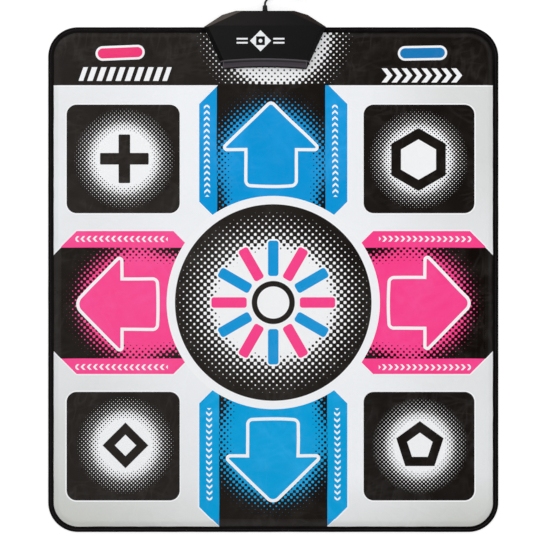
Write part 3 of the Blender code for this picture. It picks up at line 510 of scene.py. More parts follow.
def distance_to(outline, points):
    """How far each point lies from the nearest side of an outline."""
    outline = np.array(outline)
    nearest = np.full(len(points), np.inf)
    for start, end in zip(outline, np.roll(outline, -1, axis=0)):
        along = end - start
        share = np.clip((points - start) @ along / (along @ along), 0, 1)
        gap = np.linalg.norm(points - start - share[:, None] * along, axis=1)
        nearest = np.minimum(nearest, gap)
    return nearest


def seam_gap(points):
    return np.min([distance_to(outline, points) for outline in zones.values()], axis=0)


def inside(outline, points):
    """Whether each point lies inside an outline, by the number of sides beyond it."""
    x, y = points.T
    odd = np.zeros(len(points), bool)
    for (x1, y1), (x2, y2) in zip(outline, outline[1:] + outline[:1]):
        if y1 != y2:
            odd ^= ((y1 > y) != (y2 > y)) & (x < x1 + (x2 - x1) * (y - y1) / (y2 - y1))
    return odd


# %% Heights over the mat
def swells(points):
    """Slow waves from about -1 to 1: a sum of sines of several lengths and headings."""
    total = np.zeros(len(points))
    for length, heading, start in WAVES:
        way = np.array((math.cos(math.radians(heading)), math.sin(math.radians(heading))))
        total += np.sin(points @ way * TURN / length + start)
    return total / len(WAVES) * SWELL_SUM


def slope_up(points):
    """The film's height from the binding up to the mat's full height."""
    return RIM_LEVEL + (MAT_TOP - RIM_LEVEL) * ramp(rim_depth(points), BINDING_WIDTH, PILLOW_WIDTH)


def film_top(points):
    """The height of the film's upper face between the zones."""
    beside = np.abs(points[:, 0] - HOUSING_PLACE[0]) - HOUSING_HALF
    ahead = HALF_LENGTH - HOUSING_FRONT - points[:, 1]
    calm = ramp(seam_gap(points), 0, CALM) * ramp(np.maximum(beside, ahead), 0, CALM)
    depth = rim_depth(points)
    height = slope_up(points) + SWELL * swells(points) * calm * ramp(depth, *SWELL_START)
    gather = ramp(depth, *PUCKER_SPAN[0]) * ramp(depth, *PUCKER_SPAN[1]) * calm
    puckers = np.array([noise.noise(Vector((x, y, 0)) / PUCKER_SIZE) for x, y in points])
    return height + PUCKER * puckers * gather


# %% [markdown]
# A sheet with windows can't be drawn as one face. Triangles between its outlines and a grid of
# points give an even mesh that the heights above can move. The underside needs no grid, and a
# wall along each edge closes the sheet, so that it is a real thickness of film.

# %% A sheet between two surfaces
CLEARANCE = 0.55  # of the grid's spacing, between the grid and every outline
SAME_PLACE = 1e-4


def split_long(outline, spacing):
    """The outline with points added until no side is longer than the spacing."""
    points = []
    for (x1, y1), (x2, y2) in zip(outline, outline[1:] + outline[:1]):
        parts = max(1, math.ceil(math.hypot(x2 - x1, y2 - y1) / spacing))
        points += [(x1 + (x2 - x1) * k / parts, y1 + (y2 - y1) * k / parts) for k in range(parts)]
    return points


def grid_within(rings, spacing):
    """Staggered grid points inside the first ring and clear of every ring."""
    xs, ys = zip(*rings[0])
    columns = np.arange(min(xs), max(xs), spacing)
    rows = np.arange(min(ys), max(ys), spacing * math.sqrt(3) / 2)
    grid = np.stack(np.meshgrid(columns, rows), axis=-1)
    grid[..., 0] += spacing / 2 * (np.arange(len(rows)) % 2)[:, None]
    grid = grid.reshape(-1, 2)
    grid = grid[inside(rings[0], grid)]
    for ring in rings:
        grid = grid[distance_to(ring, grid) > spacing * CLEARANCE]
    return grid


def triangles(rings, grid, holes):
    """Triangles between the rings and the grid points, inside the first ring but not in a hole."""
    points = [Vector(point) for ring in rings for point in ring] + [Vector(point) for point in grid]
    edges = []
    first = 0
    for ring in rings:
        edges += [(first + i, first + (i + 1) % len(ring)) for i in range(len(ring))]
        first += len(ring)
    spots, _, faces, *_ = delaunay_2d_cdt(points, edges, [], 0, SAME_PLACE)
    spots = np.array([tuple(spot) for spot in spots])
    faces = np.array([tuple(face) for face in faces])
    middles = spots[faces].mean(axis=1)
    faces = faces[inside(rings[0], middles) & ~np.any([inside(hole, middles) for hole in holes], axis=0)]
    used, faces = np.unique(faces, return_inverse=True)
    return spots[used], faces.reshape(-1, 3).tolist()


def sheet_between(rings, spacing, holes, top, bottom):
    """Points and faces of a closed sheet, fine above and plain below, and how many lie above."""
    upper, upper_faces = triangles(rings, grid_within(rings, spacing), holes)
    lower, lower_faces = triangles(rings, [], holes)
    points = [(x, y, z) for (x, y), z in zip(upper, top(upper))]
    points += [(x, y, z) for (x, y), z in zip(lower, bottom(lower))]
    below = {tuple(np.round(spot, 2) + 0.0): len(upper) + i for i, spot in enumerate(lower)}
    faces = [tuple(face) for face in upper_faces]
    faces += [tuple(len(upper) + i for i in reversed(face)) for face in lower_faces]
    sides = {(a, b) for face in upper_faces for a, b in zip(face, face[1:] + face[:1])}
    for a, b in sorted(sides):
        if (b, a) not in sides:
            under_a, under_b = [below[tuple(np.round(upper[i], 2) + 0.0)] for i in (a, b)]
            faces.append((a, under_a, under_b, b))
    return points, faces, len(upper)


# %% [markdown]
# The housing's lower shell stands in a notch in the mat, so the film and the cloth are cut round
# it. The shell is full width behind the mat's rim. In front it is narrower, because the mat lies
# over its sides.

# %% The notch for the housing
HOUSING_FRONT_HALF = 75.0
HOUSING_KINK = (77.5, 21.6)
HOUSING_REAR_HALF = 53.0
HOUSING_OVERLAP = 12.0
SHOULDER = 24.0
SNUG = 0.03  # between the housing and the soft edges that lie against it


def side_line(y):
    """Half the housing's width at y, in front of its widest place."""
    return HOUSING_HALF + (HOUSING_FRONT_HALF - HOUSING_HALF) * -y / HOUSING_FRONT


def mirrored(right, place=(0, 0)):
    """An outline from its right half, about a place."""
    return [(x + place[0], y + place[1]) for x, y in right + [(-x, y) for x, y in reversed(right)]]


def mat_ring(depth):
    """The mat's outline moved inwards."""
    x, y = HALF_WIDTH - depth, HALF_LENGTH - depth
    return rounded_rectangle(-x, x, -y, y, MAT_CORNER - depth)


notch_front = HOUSING_OVERLAP - HOUSING_FRONT
notch_side = [
    (side_line(notch_front) - HOUSING_OVERLAP + SEAT, notch_front - SEAT),
    (side_line(-SHOULDER) - HOUSING_OVERLAP + SEAT, -SHOULDER - SEAT),
    (side_line(-SHOULDER) + SNUG, -SHOULDER - SEAT),
    (side_line(0) + SNUG, 0),
    (side_line(0), 2 * BINDING_WIDTH),
]
notch = mirrored(notch_side, (HOUSING_PLACE[0], HALF_LENGTH))
print(f"The notch is {2 * side_line(0):.1f} mm wide at the mat's edge")

# %% [markdown]
# Now the film itself. It has rings of points down its sloping rim, where it bends most, and an
# even grid elsewhere. A point attribute keeps how far each place lies from the nearest zone, and
# the print uses it later to draw the fine white line round each zone.

# %% The film between the zones
FILM_GRID = 5.5
SLOPE_ROWS = (10.0, 12.0, 14.0, 16.5, 19.0, 21.5, 26.0)
FAR_FROM_SEAM = 50.0

film_outlines = [mat_ring(TUCK), notch, *zones.values(), *(mat_ring(depth) for depth in SLOPE_ROWS)]
film_rings = [split_long(outline, FILM_GRID) for outline in film_outlines]
film_points, film_faces, film_above = sheet_between(
    film_rings,
    FILM_GRID,
    [notch, *zones.values()],
    film_top,
    lambda points: slope_up(points) - FILM_THICK,
)
printed_film = make_piece("printed_film", film_points, film_faces, MAT_PLACE, "film", ["top_cover"])
gaps = np.full(len(film_points), FAR_FROM_SEAM)
gaps[:film_above] = np.minimum(seam_gap(np.array(film_points)[:film_above, :2]), FAR_FROM_SEAM)
seam = printed_film.data.attributes.new("seam", "FLOAT", "POINT")
seam.data.foreach_set("value", gaps.astype(np.float32))
print(f"The film has {len(film_faces)} faces")

# %% [markdown]
# Each zone's patch starts level with the film, bulges a little over the foam, and is closed below.

# %% The ten patches over the zones
ROW_GAP = 0.03  # between a patch and its window, too fine to see
BLEND_START = 0.02


def shrunk(outline, gap):
    """The outline moved inwards by a gap, along the mean of the two sides' ways at each point."""
    ring = np.array(outline)
    sides = np.roll(ring, -1, axis=0) - ring
    sides /= np.linalg.norm(sides, axis=1)[:, None]
    tangent = sides + np.roll(sides, 1, axis=0)
    inward = np.stack((-tangent[:, 1], tangent[:, 0]), axis=1)
    inward /= np.linalg.norm(inward, axis=1)[:, None]
    return [tuple(point) for point in ring + inward * gap]


patches = {}
for zone, outline in zones.items():
    left, right, near, far = zone_box(zone)
    width = min(BULGE_WIDTH, (far - near) * BULGE_SHARE)
    ring = shrunk(split_long(outline, FILM_GRID), ROW_GAP)

    def patch_top(points, ring=ring, width=width):
        edge = distance_to(ring, points)
        swell = SWELL * (1 + swells(points)) * ramp(edge, 0, 2 * width)
        return MAT_TOP + BULGE * ramp(edge, 0, width) + swell

    points, faces, _ = sheet_between(
        [ring], FILM_GRID, [], patch_top, lambda points: np.full(len(points), MAT_TOP - FILM_THICK)
    )
    patch = make_piece(f"{zone}_film", points, faces, MAT_PLACE, "film", [f"{zone}_cover"], None)
    low_end = (0, 0, (MAT_TOP + BLEND_START) * MM)
    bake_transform(patch)
    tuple(low_end)
    patches[zone] = patch
print(f"{len(patches)} patches of {sum(len(p.data.polygons) for p in patches.values())} faces in all")

# %% [markdown]
# ## What is on the cord
#
# The relief is a ribbed rubber sleeve, the tie is a soft strap round one side of the coil, and the
# plug is a moulded grip with a flat metal shell. Each is a row of closed sections, joined one to
# the next and capped. Its ribs and grooves are one profile, repeated at a pitch.

# %% Sections joined into a body
def joined(sections, closed=False):
    """Points and faces of a body through sections of as many points each, its caps last."""
    count = len(sections[0])
    points = [point for section in sections for point in section]
    faces = []
    for k in range(len(sections) if closed else len(sections) - 1):
        here, there = k * count, (k + 1) % len(sections) * count
        for i in range(count):
            j = (i + 1) % count
            faces.append((here + i, here + j, there + j, there + i))
    if not closed:
        faces.append(tuple(reversed(range(count))))
        faces.append(tuple(range(len(points) - count, len(points))))
    return points, faces


def circle(radius, steps):
    angles = [TURN * k / steps for k in range(steps)]
    return [(radius * math.cos(angle), radius * math.sin(angle)) for angle in angles]


def repeated(start, pitch, count, profile):
    """How far along and how deep each point of a profile lies, for so many in a row."""
    return [(start + pitch * k + along, drop) for k in range(count) for along, drop in profile]


# %% The strain relief
relief_low, relief_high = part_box("strain_relief")
RELIEF_LEVEL = (relief_low.z + relief_high.z) / 2 / MM
RELIEF_BASE = 4.9
RELIEF_TIP = 4.1
RELIEF_GROOVE = 0.55
# Where ribs or grooves start, their pitch, how many there are, and one's places along and depths
RELIEF_RIBS = (1.8, 1.9, 4, ((0, 0), (0.15, 0.12), (0.2, 1), (0.75, 1), (0.8, 0.12), (0.95, 0)))
RELIEF_HOLE = CORD_DIAMETER / 2 + 0.15
RELIEF_SIDES = 32
PLASTIC_EDGE = 0.25

relief_profile = [(RELIEF_BASE - PLASTIC_EDGE, SEAT), (RELIEF_BASE, SEAT + PLASTIC_EDGE)]
start, pitch, ribs, rib = RELIEF_RIBS
for k in range(ribs):
    radius = RELIEF_BASE + (RELIEF_TIP - RELIEF_BASE) * (start + pitch * k) / RELIEF_LENGTH
    grooves = repeated(start + pitch * k, pitch, 1, rib)
    relief_profile += [(radius - RELIEF_GROOVE * drop, along) for along, drop in grooves]
relief_profile += [(RELIEF_TIP, RELIEF_LENGTH - 0.5), (RELIEF_TIP - 0.5, RELIEF_LENGTH)]
relief_profile += [(RELIEF_HOLE, RELIEF_LENGTH), (RELIEF_HOLE, RELIEF_LENGTH - 0.6)]
relief_sections = [
    [(-x, HOUSING_REAR + along, RELIEF_LEVEL + z) for x, z in circle(radius, RELIEF_SIDES)]
    for radius, along in relief_profile
]
relief = make_piece("cord_relief", *joined(relief_sections), HOUSING_PLACE, "rubber", ["strain_relief"])
print(f"The relief reaches {RELIEF_LENGTH} mm behind the housing")

# %% The strap round the coil
TIE_WIDTH = 5.0
TIE_THICK = 0.5
TIE_CORNER = 1.6
TIE_ROOM = (0.75, 0.45)  # between the coil and the strap, at the left and elsewhere
TIE_LOW = 0.55
# Each point's share of the thickness, and its place across the strap
TIE_SECTION = ((0, -1), (0, 0), (0, 1), (0.3, 1.08), (0.7, 1.08), (1, 1), (1, 0), (1, -1))
TIE_SECTION += ((0.7, -1.08), (0.3, -1.08))
reach = COIL_SPREAD + CORD_DIAMETER / 2
tie_left = COIL_RADIUS - reach - TIE_ROOM[0]
tie_right = COIL_RADIUS + reach + TIE_ROOM[1]
tie_high = COIL_LOW + COIL_PITCH * (COIL_LAYERS - 1) + CORD_DIAMETER / 2 + TIE_ROOM[1]

tie_sections = []
for out, across in TIE_SECTION:
    grow = TIE_THICK * out
    box = (tie_left - grow, tie_right + grow, TIE_LOW - grow, tie_high + grow)
    ring = rounded_rectangle(*box, TIE_CORNER + grow, 5)
    tie_sections.append([(x, across * TIE_WIDTH / 2, z) for x, z in ring])
tie_place = (CORD_EXIT[0] + COIL_MIDDLE[0], CORD_EXIT[1] + COIL_MIDDLE[1])
tie = make_piece("coil_strap", *joined(tie_sections, closed=True), tie_place, "rubber", ["cord_tie"])
print(f"The strap goes round {tie_right - tie_left:.1f} by {tie_high - TIE_LOW:.1f} mm")

# %% The plug's moulded grip
PLUG_PLACE = (21.5, 62.5)
PLUG_HEADING = math.radians(211)
PLUG_LEVEL = 4.0
PLUG_WIDTH = 16.0
PLUG_HEIGHT = 8.0
PLUG_LENGTH = 30.0
PLUG_CORNER = 2.4
CORNER_SHARE = 0.38  # of the height, where the plug is thin
NOSE_WIDTH = 7.2
NOSE_HEIGHT = 6.0
NOSE_LENGTH = 8.0
NOSE_GROOVES = (1.4, 2.1, 3, ((0, 0), (0.2, 1.1), (0.9, 1.1), (1.1, 0)))
GRIP_GROOVES = (13.5, 2.2, 5, ((0, 0), (0.25, 0.7), (0.85, 0.7), (1.1, 0)))
GRIP_DROP = 0.4  # a groove's depth above and below, next to its depth at the sides

plug_profile = [(0.0, NOSE_WIDTH - 0.8, NOSE_HEIGHT - 0.8), (0.4, NOSE_WIDTH, NOSE_HEIGHT)]
plug_profile += [(along, NOSE_WIDTH - d, NOSE_HEIGHT - d) for along, d in repeated(*NOSE_GROOVES)]
plug_profile += [(NOSE_LENGTH, NOSE_WIDTH, NOSE_HEIGHT), (9.0, 11.5, 6.9), (9.9, 14.8, 7.6)]
plug_profile += [(10.9, PLUG_WIDTH, PLUG_HEIGHT)]
plug_profile += [(s, PLUG_WIDTH - d, PLUG_HEIGHT - d * GRIP_DROP) for s, d in repeated(*GRIP_GROOVES)]
plug_profile += [(PLUG_LENGTH - 0.9, PLUG_WIDTH, PLUG_HEIGHT)]
plug_profile += [(PLUG_LENGTH, PLUG_WIDTH - 1.2, PLUG_HEIGHT - 1.0)]
cosine, sine = math.cos(PLUG_HEADING), math.sin(PLUG_HEADING)
plug_sections = []
for along, width, height in plug_profile:
    corner = min(height * CORNER_SHARE, PLUG_CORNER)
    ring = rounded_rectangle(-width / 2, width / 2, -height / 2, height / 2, corner, 4)
    x, y = PLUG_PLACE[0] + cosine * along, PLUG_PLACE[1] + sine * along
    plug_sections.append([(x + sine * a, y - cosine * a, PLUG_LEVEL + rise) for a, rise in ring])
plug_grip = make_piece("plug_grip", *joined(plug_sections), CORD_EXIT, "plug", ["plug_body"])
print(f"The grip is {PLUG_LENGTH} mm long, with {GRIP_GROOVES[2]} grooves")

# %% [markdown]
# The relief's rubber and the plug's plastic are two more moulded finishes.

# %% The cord's finishes
rubber = moulded("relief_rubber", seen(20, 20, 20), seen(34, 33, 32), 0.62, 0.9, 0.02)
dress(relief, rubber)
dress(tie, moulded("strap_weave", seen(24, 24, 25), seen(48, 47, 46), 0.85, 0.5, 0.16))
dress(plug_grip, moulded("plug_plastic", seen(19, 19, 20), seen(36, 35, 35), 0.42, 0.7, 0.025))

# %% [markdown]
# ## The binding
#
# A black woven tape is folded round the rim and sewn through all layers. From above, about 10 mm
# of it shows: a soft roll at the very edge, a groove where the thread pulls it down, and a flat
# inner edge that wanders a little, because tape is fed by hand. One closed section is carried
# round the rim, and slow noise moves it.

# %% The binding's section and its way round the rim
# Each point's depth inside the mat's edge, and its level
BINDING_SECTION = (
    (10.0, 3.35), (10.15, 3.7), (9.8, 4.05), (8.5, 4.15), (6.6, 4.1), (5.5, 3.9), (4.9, 3.7),
    (4.3, 3.9), (3.2, 4.35), (2.0, 4.3), (0.9, 3.7), (0.2, 2.9), (0.0, 2.1), (0.2, 1.3),
    (0.9, 0.5), (2.0, 0.05), (3.2, 0.0), (4.2, 0.15), (4.9, 0.4), (6.0, 0.3), (9.8, 0.3),
    (10.0, 0.75), (8.0, 0.8), (3.0, 0.95), (1.6, 1.5), (1.3, 2.1), (1.6, 2.8), (3.0, 3.25), (8.0, 3.3),
)
RIM_STEP = 6.0
CORNER_ARC_STEPS = 20
# How far the tape's inner edge, its roll and its top wander, over what length
INNER_WANDER = (0.4, 30)
OUTER_WANDER = (0.2, 45)
HEAVE = (0.12, 22)
# Where in the section's depth or level each of these starts, and how soon it is full
INNER_PART = (5.5, 4.0)
OUTER_PART = (4.0, -4.0)
TOP_PART = (3.4, 0.5)


def rim_way():
    """Places on the mat's edge with their way inwards, from the housing's right side to its left."""
    x0, y0 = HALF_WIDTH - MAT_CORNER, HALF_LENGTH - MAT_CORNER
    ends = [((HOUSING_PLACE[0] + side * (HOUSING_HALF + SEAT), HALF_LENGTH), (0.0, -1.0)) for side in (1, -1)]
    places = [ends[0]]
    for x, y, first in ((x0, y0, 90), (x0, -y0, 0), (-x0, -y0, -90), (-x0, y0, -180)):
        for step in range(CORNER_ARC_STEPS + 1):
            angle = math.radians(first - 90 * step / CORNER_ARC_STEPS)
            way = (math.cos(angle), math.sin(angle))
            places.append(((x + MAT_CORNER * way[0], y + MAT_CORNER * way[1]), (-way[0], -way[1])))
    places.append(ends[1])
    filled = []
    for (here, inward), (there, _) in zip(places, places[1:]):
        parts = max(1, round(math.dist(here, there) / RIM_STEP))
        for k in range(parts):
            filled.append(([a + (b - a) * k / parts for a, b in zip(here, there)], inward))
    return filled + [ends[1]]


rim = rim_way()


def on_rim(place, depth):
    """The point at a depth inside the edge; both ends follow the housing's slanting sides."""
    (x, y), inward = place
    x += inward[0] * depth
    y += inward[1] * depth
    if place in (rim[0], rim[-1]):
        side = 1 if place is rim[0] else -1
        x = HOUSING_PLACE[0] + side * (side_line(-depth) + SNUG)
    return x, y


binding_sections = []
for place in rim:
    spot = Vector((*place[0], 0))
    wander_in = INNER_WANDER[0] * noise.noise(spot / INNER_WANDER[1])
    wander_out = OUTER_WANDER[0] * (noise.noise(spot / OUTER_WANDER[1] + Vector((0, 0, 9))) - 0.5)
    heave = HEAVE[0] * noise.noise(spot / HEAVE[1] + Vector((0, 0, 4)))
    section = []
    for depth, level in BINDING_SECTION:
        inner = ramp(depth, *INNER_PART)
        shift = wander_in * inner - wander_out * (1 - inner) * ramp(depth, *OUTER_PART)
        section.append((*on_rim(place, depth + shift), level + heave * ramp(level, *TOP_PART)))
    binding_sections.append(section)
binding = make_piece("sewn_binding", *joined(binding_sections), MAT_PLACE, "binding", ["edge_binding"])
print(f"The binding has {len(rim)} sections and {len(binding.data.polygons)} faces")

# %% [markdown]
# Stitches repeat hundreds of times along one line, so Geometry Nodes lays them: the line is cut
# into steps of one stitch, and a short bent thread is placed on each step, turned along the line.
# One function builds and runs any such tree. Its inputs carry the sizes, and a pattern function
# says what is placed where.

# %% A tree that repeats a piece
def grown(name, data, slot, material, sizes, pattern, stands_for=()):
    """A piece made by a tree from a curve or mesh; the pattern feeds Instance on Points."""
    tree = bpy.data.node_groups.new(name, "GeometryNodeTree")
    kinds = {"Geometry": "Geometry", **dict.fromkeys(sizes, "Float"), "Material": "Material"}
    for label, kind in kinds.items():
        tree.interface.new_socket(label, in_out="INPUT", socket_type=f"NodeSocket{kind}")
    tree.interface.new_socket("Geometry", in_out="OUTPUT", socket_type="NodeSocketGeometry")
    recipe = Recipe(tree)
    given = recipe.node("NodeGroupInput")
    placed = recipe.node("GeometryNodeInstanceOnPoints", values=pattern(recipe, given))
    real = recipe.node("GeometryNodeRealizeInstances", values={0: placed})
    values = {"Geometry": real, "Material": given.other("Material")}
    recipe.node("NodeGroupOutput", values={0: recipe.node("GeometryNodeSetMaterial", values=values)})
    mesh = plain_mesh(data, tree, {**sizes, "Material": material})
    return piece_of(mesh, name, slot, stands_for, sharp=40)


# %% The stitches
STITCH_SIZES = {"Pitch": 3.0 * MM, "Length": 2.3 * MM, "Thread": 0.26 * MM, "Rise": 0.42 * MM}
STITCH_DEPTH = 4.9
STITCH_LEVELS = (3.72, 0.3)
THREAD_SIDES = 6
THREAD_BENDS = 5


def stitch_pattern(recipe, given):
    """A bent thread on each step along the line."""
    half = given.other("Length") * 0.5
    spots = {"Start": {"X": half * -1}, "Middle": {"Z": given.other("Rise")}, "End": {"X": half}}
    bend = {name: recipe.node("ShaderNodeCombineXYZ", values=spot) for name, spot in spots.items()}
    arc = recipe.node("GeometryNodeCurveQuadraticBezier", values={"Resolution": THREAD_BENDS, **bend})
    sizes = {"Resolution": THREAD_SIDES, "Radius": given.other("Thread")}
    profile = recipe.node("GeometryNodeCurvePrimitiveCircle", values=sizes)
    values = {"Curve": arc, "Profile Curve": profile, "Fill Caps": True}
    thread = recipe.node("GeometryNodeCurveToMesh", values=values)
    values = {"Curve": given, "Length": given.other("Pitch")}
    steps = recipe.node("GeometryNodeResampleCurve", {"mode": "LENGTH"}, values)
    values = {"Vector": recipe.node("GeometryNodeInputTangent")}
    along = recipe.node("FunctionNodeAlignRotationToVector", {"axis": "X", "pivot_axis": "Z"}, values)
    return {"Points": steps, "Instance": thread, "Rotation": along}


seam_lines = []
for level in STITCH_LEVELS:
    seam_lines.append(in_metres([(*on_rim(place, STITCH_DEPTH), level) for place in rim[1:-1]], MAT_PLACE))
stitch_line = line_curve("stitch_line", *seam_lines)
thread_finish = moulded("binding_thread", seen(34, 33, 33), seen(58, 56, 55), 0.6, 0.3, 0.05)
stitches = grown("binding_stitches", stitch_line, "binding", thread_finish, STITCH_SIZES, stitch_pattern)
print(f"The stitches have {len(stitches.data.polygons)} faces")

# %% [markdown]
# The tape is a fine black weave, for which a plain grid of sines stands. What the eye reads at a
# distance is its tone: the tape is blacker towards the right, and the groove and the dust on it
# are lighter.

# %% The binding's finish
TAPE_PITCH = 0.9
GROOVE_LEVEL = 3.78
GROOVE_WIDTH = 0.14


def weave(x, y, pitch):
    return (x * (TURN / pitch)).maths("SINE") * (y * (TURN / pitch)).maths("SINE")


tape = Finish("binding_tape")
x, y = tape.plan(MAT_PLACE)
dust = tape.grain(26.0, detail=5.0)
level = tape.node("ShaderNodeSeparateXYZ", values={0: tape.point}, output="Z") * 1000
groove = (1 - abs(level - GROOVE_LEVEL) / GROOVE_WIDTH).most(0.0)
deep = tape.mix((0.25 - x / (2 * HALF_WIDTH)) * 1.5, seen(6, 4, 4), seen(15, 12, 12))
tape.wear(
    Base_Color=tape.mix((dust - 0.35) * 0.9 + groove * 0.5, deep, seen(28, 25, 25)),
    Roughness=0.66 + dust * 0.2,
    Specular_IOR_Level=0.06,
    Normal=tape.relief(weave(x, y, TAPE_PITCH) * 0.03 + tape.grain(0.5, detail=3.0) * 0.05),
)
dress(binding, tape.material)
print(f"The tape's finish has {len(tape.tree.nodes)} nodes")

# %% [markdown]
# ## The underside
#
# Below lies a black non-slip cloth: a thin woven sheet with rubber dots printed on it in staggered
# rows. The cloth is one sheet with the housing's notch in it, and Geometry Nodes puts a flat dot
# on each point of a grid. A dot is a low frustum with eight sides, because there are thousands.

# %% The backing cloth
BACKING_THICK = 0.8
BACKING_GRID = 24.0
BACKING_EDGE = 9.0
BACKING_ROWS = (10.2, 12.0, 15.0)
DOT_HEIGHT = 0.3
RIM_RISE = 0.8
RIM_RISE_WIDTH = 5.0


def backing_low(points):
    return DOT_HEIGHT + RIM_RISE * (1 - ramp(rim_depth(points), BINDING_WIDTH, RIM_RISE_WIDTH))


backing_outlines = [mat_ring(TUCK), notch, *(mat_ring(depth) for depth in BACKING_ROWS)]
points, faces, _ = sheet_between(
    [split_long(outline, BACKING_EDGE) for outline in backing_outlines],
    BACKING_GRID,
    [notch],
    lambda points: backing_low(points) + BACKING_THICK,
    backing_low,
)
backing = make_piece("backing_cloth", points, faces, MAT_PLACE, "backing", ["bottom_cover"])
print(f"The cloth has {len(faces)} faces")

# %% Its dots
DOT_PITCH = 14.0
DOT_RADIUS = 3.4
DOT_SIDES = 8
DOT_DRAFT = 0.86
DOT_MARGIN = 16.0
DOT_SIZES = {"Radius": DOT_RADIUS * MM, "Height": DOT_HEIGHT * MM}


def dot_pattern(recipe, given):
    values = {"Vertices": DOT_SIDES, "Depth": given.other("Height"), "Radius Top": given.other("Radius")}
    values["Radius Bottom"] = given.other("Radius") * DOT_DRAFT
    return {"Points": given, "Instance": recipe.node("GeometryNodeMeshCone", values=values)}


dot_grid = grid_within([mat_ring(DOT_MARGIN)], DOT_PITCH)
dot_grid = dot_grid[distance_to(notch, dot_grid) > DOT_RADIUS + 1]
dot_grid = dot_grid[~inside(notch, dot_grid)]
dot_mesh = bpy.data.meshes.new("dot_places")
dot_mesh.from_pydata(in_metres([(x, y, 0) for x, y in dot_grid.tolist()], MAT_PLACE), [], [])
dot_rubber = moulded("dot_rubber", seen(27, 27, 28), seen(48, 47, 46), 0.7, 0.8, 0.03)
dots = grown("grip_dots", dot_mesh, "backing", dot_rubber, DOT_SIZES, dot_pattern)
print(f"There are {len(dot_grid)} dots")

# %% The cloth's finish, and the areas of the two sheets
CLOTH_PITCH = 1.1
cloth = Finish("backing_weave")
scuffs = cloth.grain(60.0, detail=6.0)
cloth.wear(
    Base_Color=cloth.mix(scuffs * 0.9 - 0.2, seen(24, 24, 26), seen(44, 43, 44)),
    Roughness=0.78 + scuffs * 0.18,
    Normal=cloth.relief(weave(*cloth.plan(MAT_PLACE), CLOTH_PITCH) * 0.06 + cloth.grain(0.6) * 0.05),
)
dress(backing, cloth.material)


def flat_area(piece):
    return sum(face.area for face in piece.data.polygons) / 2


print(f"The cloth is {flat_area(backing):.3f} square metres, the film {flat_area(printed_film):.3f}")

# %% [markdown]
# ## The print
#
# The graphics are screen-printed on the film's back: flat inks, and glows made of dots that grow
# until they merge. Nothing here is a picture. Each shape is a distance worked out from x and y,
# and inks are laid one over another. A dot screen is a sum of two cosines across the diagonals,
# and a dot is inked where the wanted coverage beats that sum.

# %% Shapes worked out from x and y
SCREEN_SOFTNESS = 0.04


def span(x, y):
    return (x * x + y * y).maths("SQRT")


def slab(x, y, half_width, half_height, corner):
    """Depth inside a rounded rectangle, below nought outside it."""
    across = abs(x) - (half_width - corner)
    up = abs(y) - (half_height - corner)
    return corner - span(across.most(0.0), up.most(0.0)) - across.most(up).least(0.0)


def rounded_corner(first, second, cosine, radius):
    """The least of two depths, rounded where their lines meet; cosine is of their normals."""
    u, v = first - radius, second - radius
    s = ((v * cosine - u) / (1 - cosine**2)).most(0.0)
    t = ((u * cosine - v) / (1 - cosine**2)).most(0.0)
    reach = (s * s + t * t + s * t * (2 * cosine)).maths("SQRT")
    plain = first.least(second)
    return plain + s.least(t).maths("GREATER_THAN", 0.0) * (radius - reach - plain)


def polygon(x, y, sides, turn):
    """Distance from the middle towards the nearest side of a regular polygon."""
    local = (y.maths("ARCTAN2", x) + turn).maths("WRAP", math.pi / sides, -math.pi / sides)
    return span(x, y) * local.maths("COSINE")


def fading(distance, *ramps):
    """From 1 to 0 outwards: the most of some ramps, each with its end and its width."""
    share = 0.0
    for end, width in ramps:
        share = ((end - distance) / width).most(share)
    return share.least(1.0)


def screen(x, y, pitch, coverage):
    """1 on the dots of a screen turned by 45 degrees, which merge as the coverage grows."""
    diagonals = ((x + y) * (TURN / pitch)).maths("COSINE") + ((x - y) * (TURN / pitch)).maths("COSINE")
    threshold = 0.5 - diagonals * 0.25
    return (coverage * (1 + 2 * SCREEN_SOFTNESS) - SCREEN_SOFTNESS - threshold).inked(SCREEN_SOFTNESS)


# %% [markdown]
# Every part of the film has the same gloss, folds and painted light, whatever is printed on it. The folds are
# ridges of stretched noise along a heading, in scattered patches. They tilt the gloss, and a trace of pale
# sheen is painted on them as a highlight. The black ink is painted greyer towards the left as a painted
# reflection, with smears of painted sheen.

# %% Inks, folds and gloss
WHITE_INK = (0.915, 0.935, 0.97, 1.0)
# The second white is painted shade on the field, where the light falls off.
SHADED_WHITE = (0.60, 0.61, 0.575, 1.0)
RING_WHITE = (0.92, 0.935, 0.96, 1.0)
BRIGHT_INK = (0.93, 0.94, 0.955, 1.0)
BLACK_INK = (0.0045, 0.0022, 0.0010, 1.0)
# The next two blacks are painted light: a painted reflection that greys the black towards the left, and soft
# smears of painted sheen.
REFLECTION_BLACK = (0.0130, 0.0098, 0.0080, 1.0)
SHEEN_SMEAR_BLACK = (0.0200, 0.0165, 0.0145, 1.0)
# A pale sheen, painted as a highlight on the folds.
PAINTED_SHEEN = (0.78, 0.74, 0.70, 1.0)
BLUE_INK = (0.0, 0.312, 0.715, 1.0)
PINK_INK = (1.0, 0.052, 0.268, 1.0)
# Some folds: heading in degrees, length, width, share of the noise that makes a ridge, and height
BROAD_FOLDS = ((35, 130.0, 55.0, 0.10, 0.42), (-28, 110.0, 40.0, 0.09, 0.32))
FINE_FOLDS = ((82, 42.0, 15.0, 0.10, 0.13), (8, 38.0, 13.0, 0.10, 0.11))
FOLD_PATCH = (0.46, 1 / 6)  # the noise at which patches of folds start, and how soon they are full
PAINTED_SHEEN_SHARES = (0.014, 0.08)  # of the sheen that lies on broad and on fine folds
SWELL_LOOK = 3.0
FILM_GLOSS = 0.22
LINE_WIDTH = 2.5
HEADER_LINE = 351.7

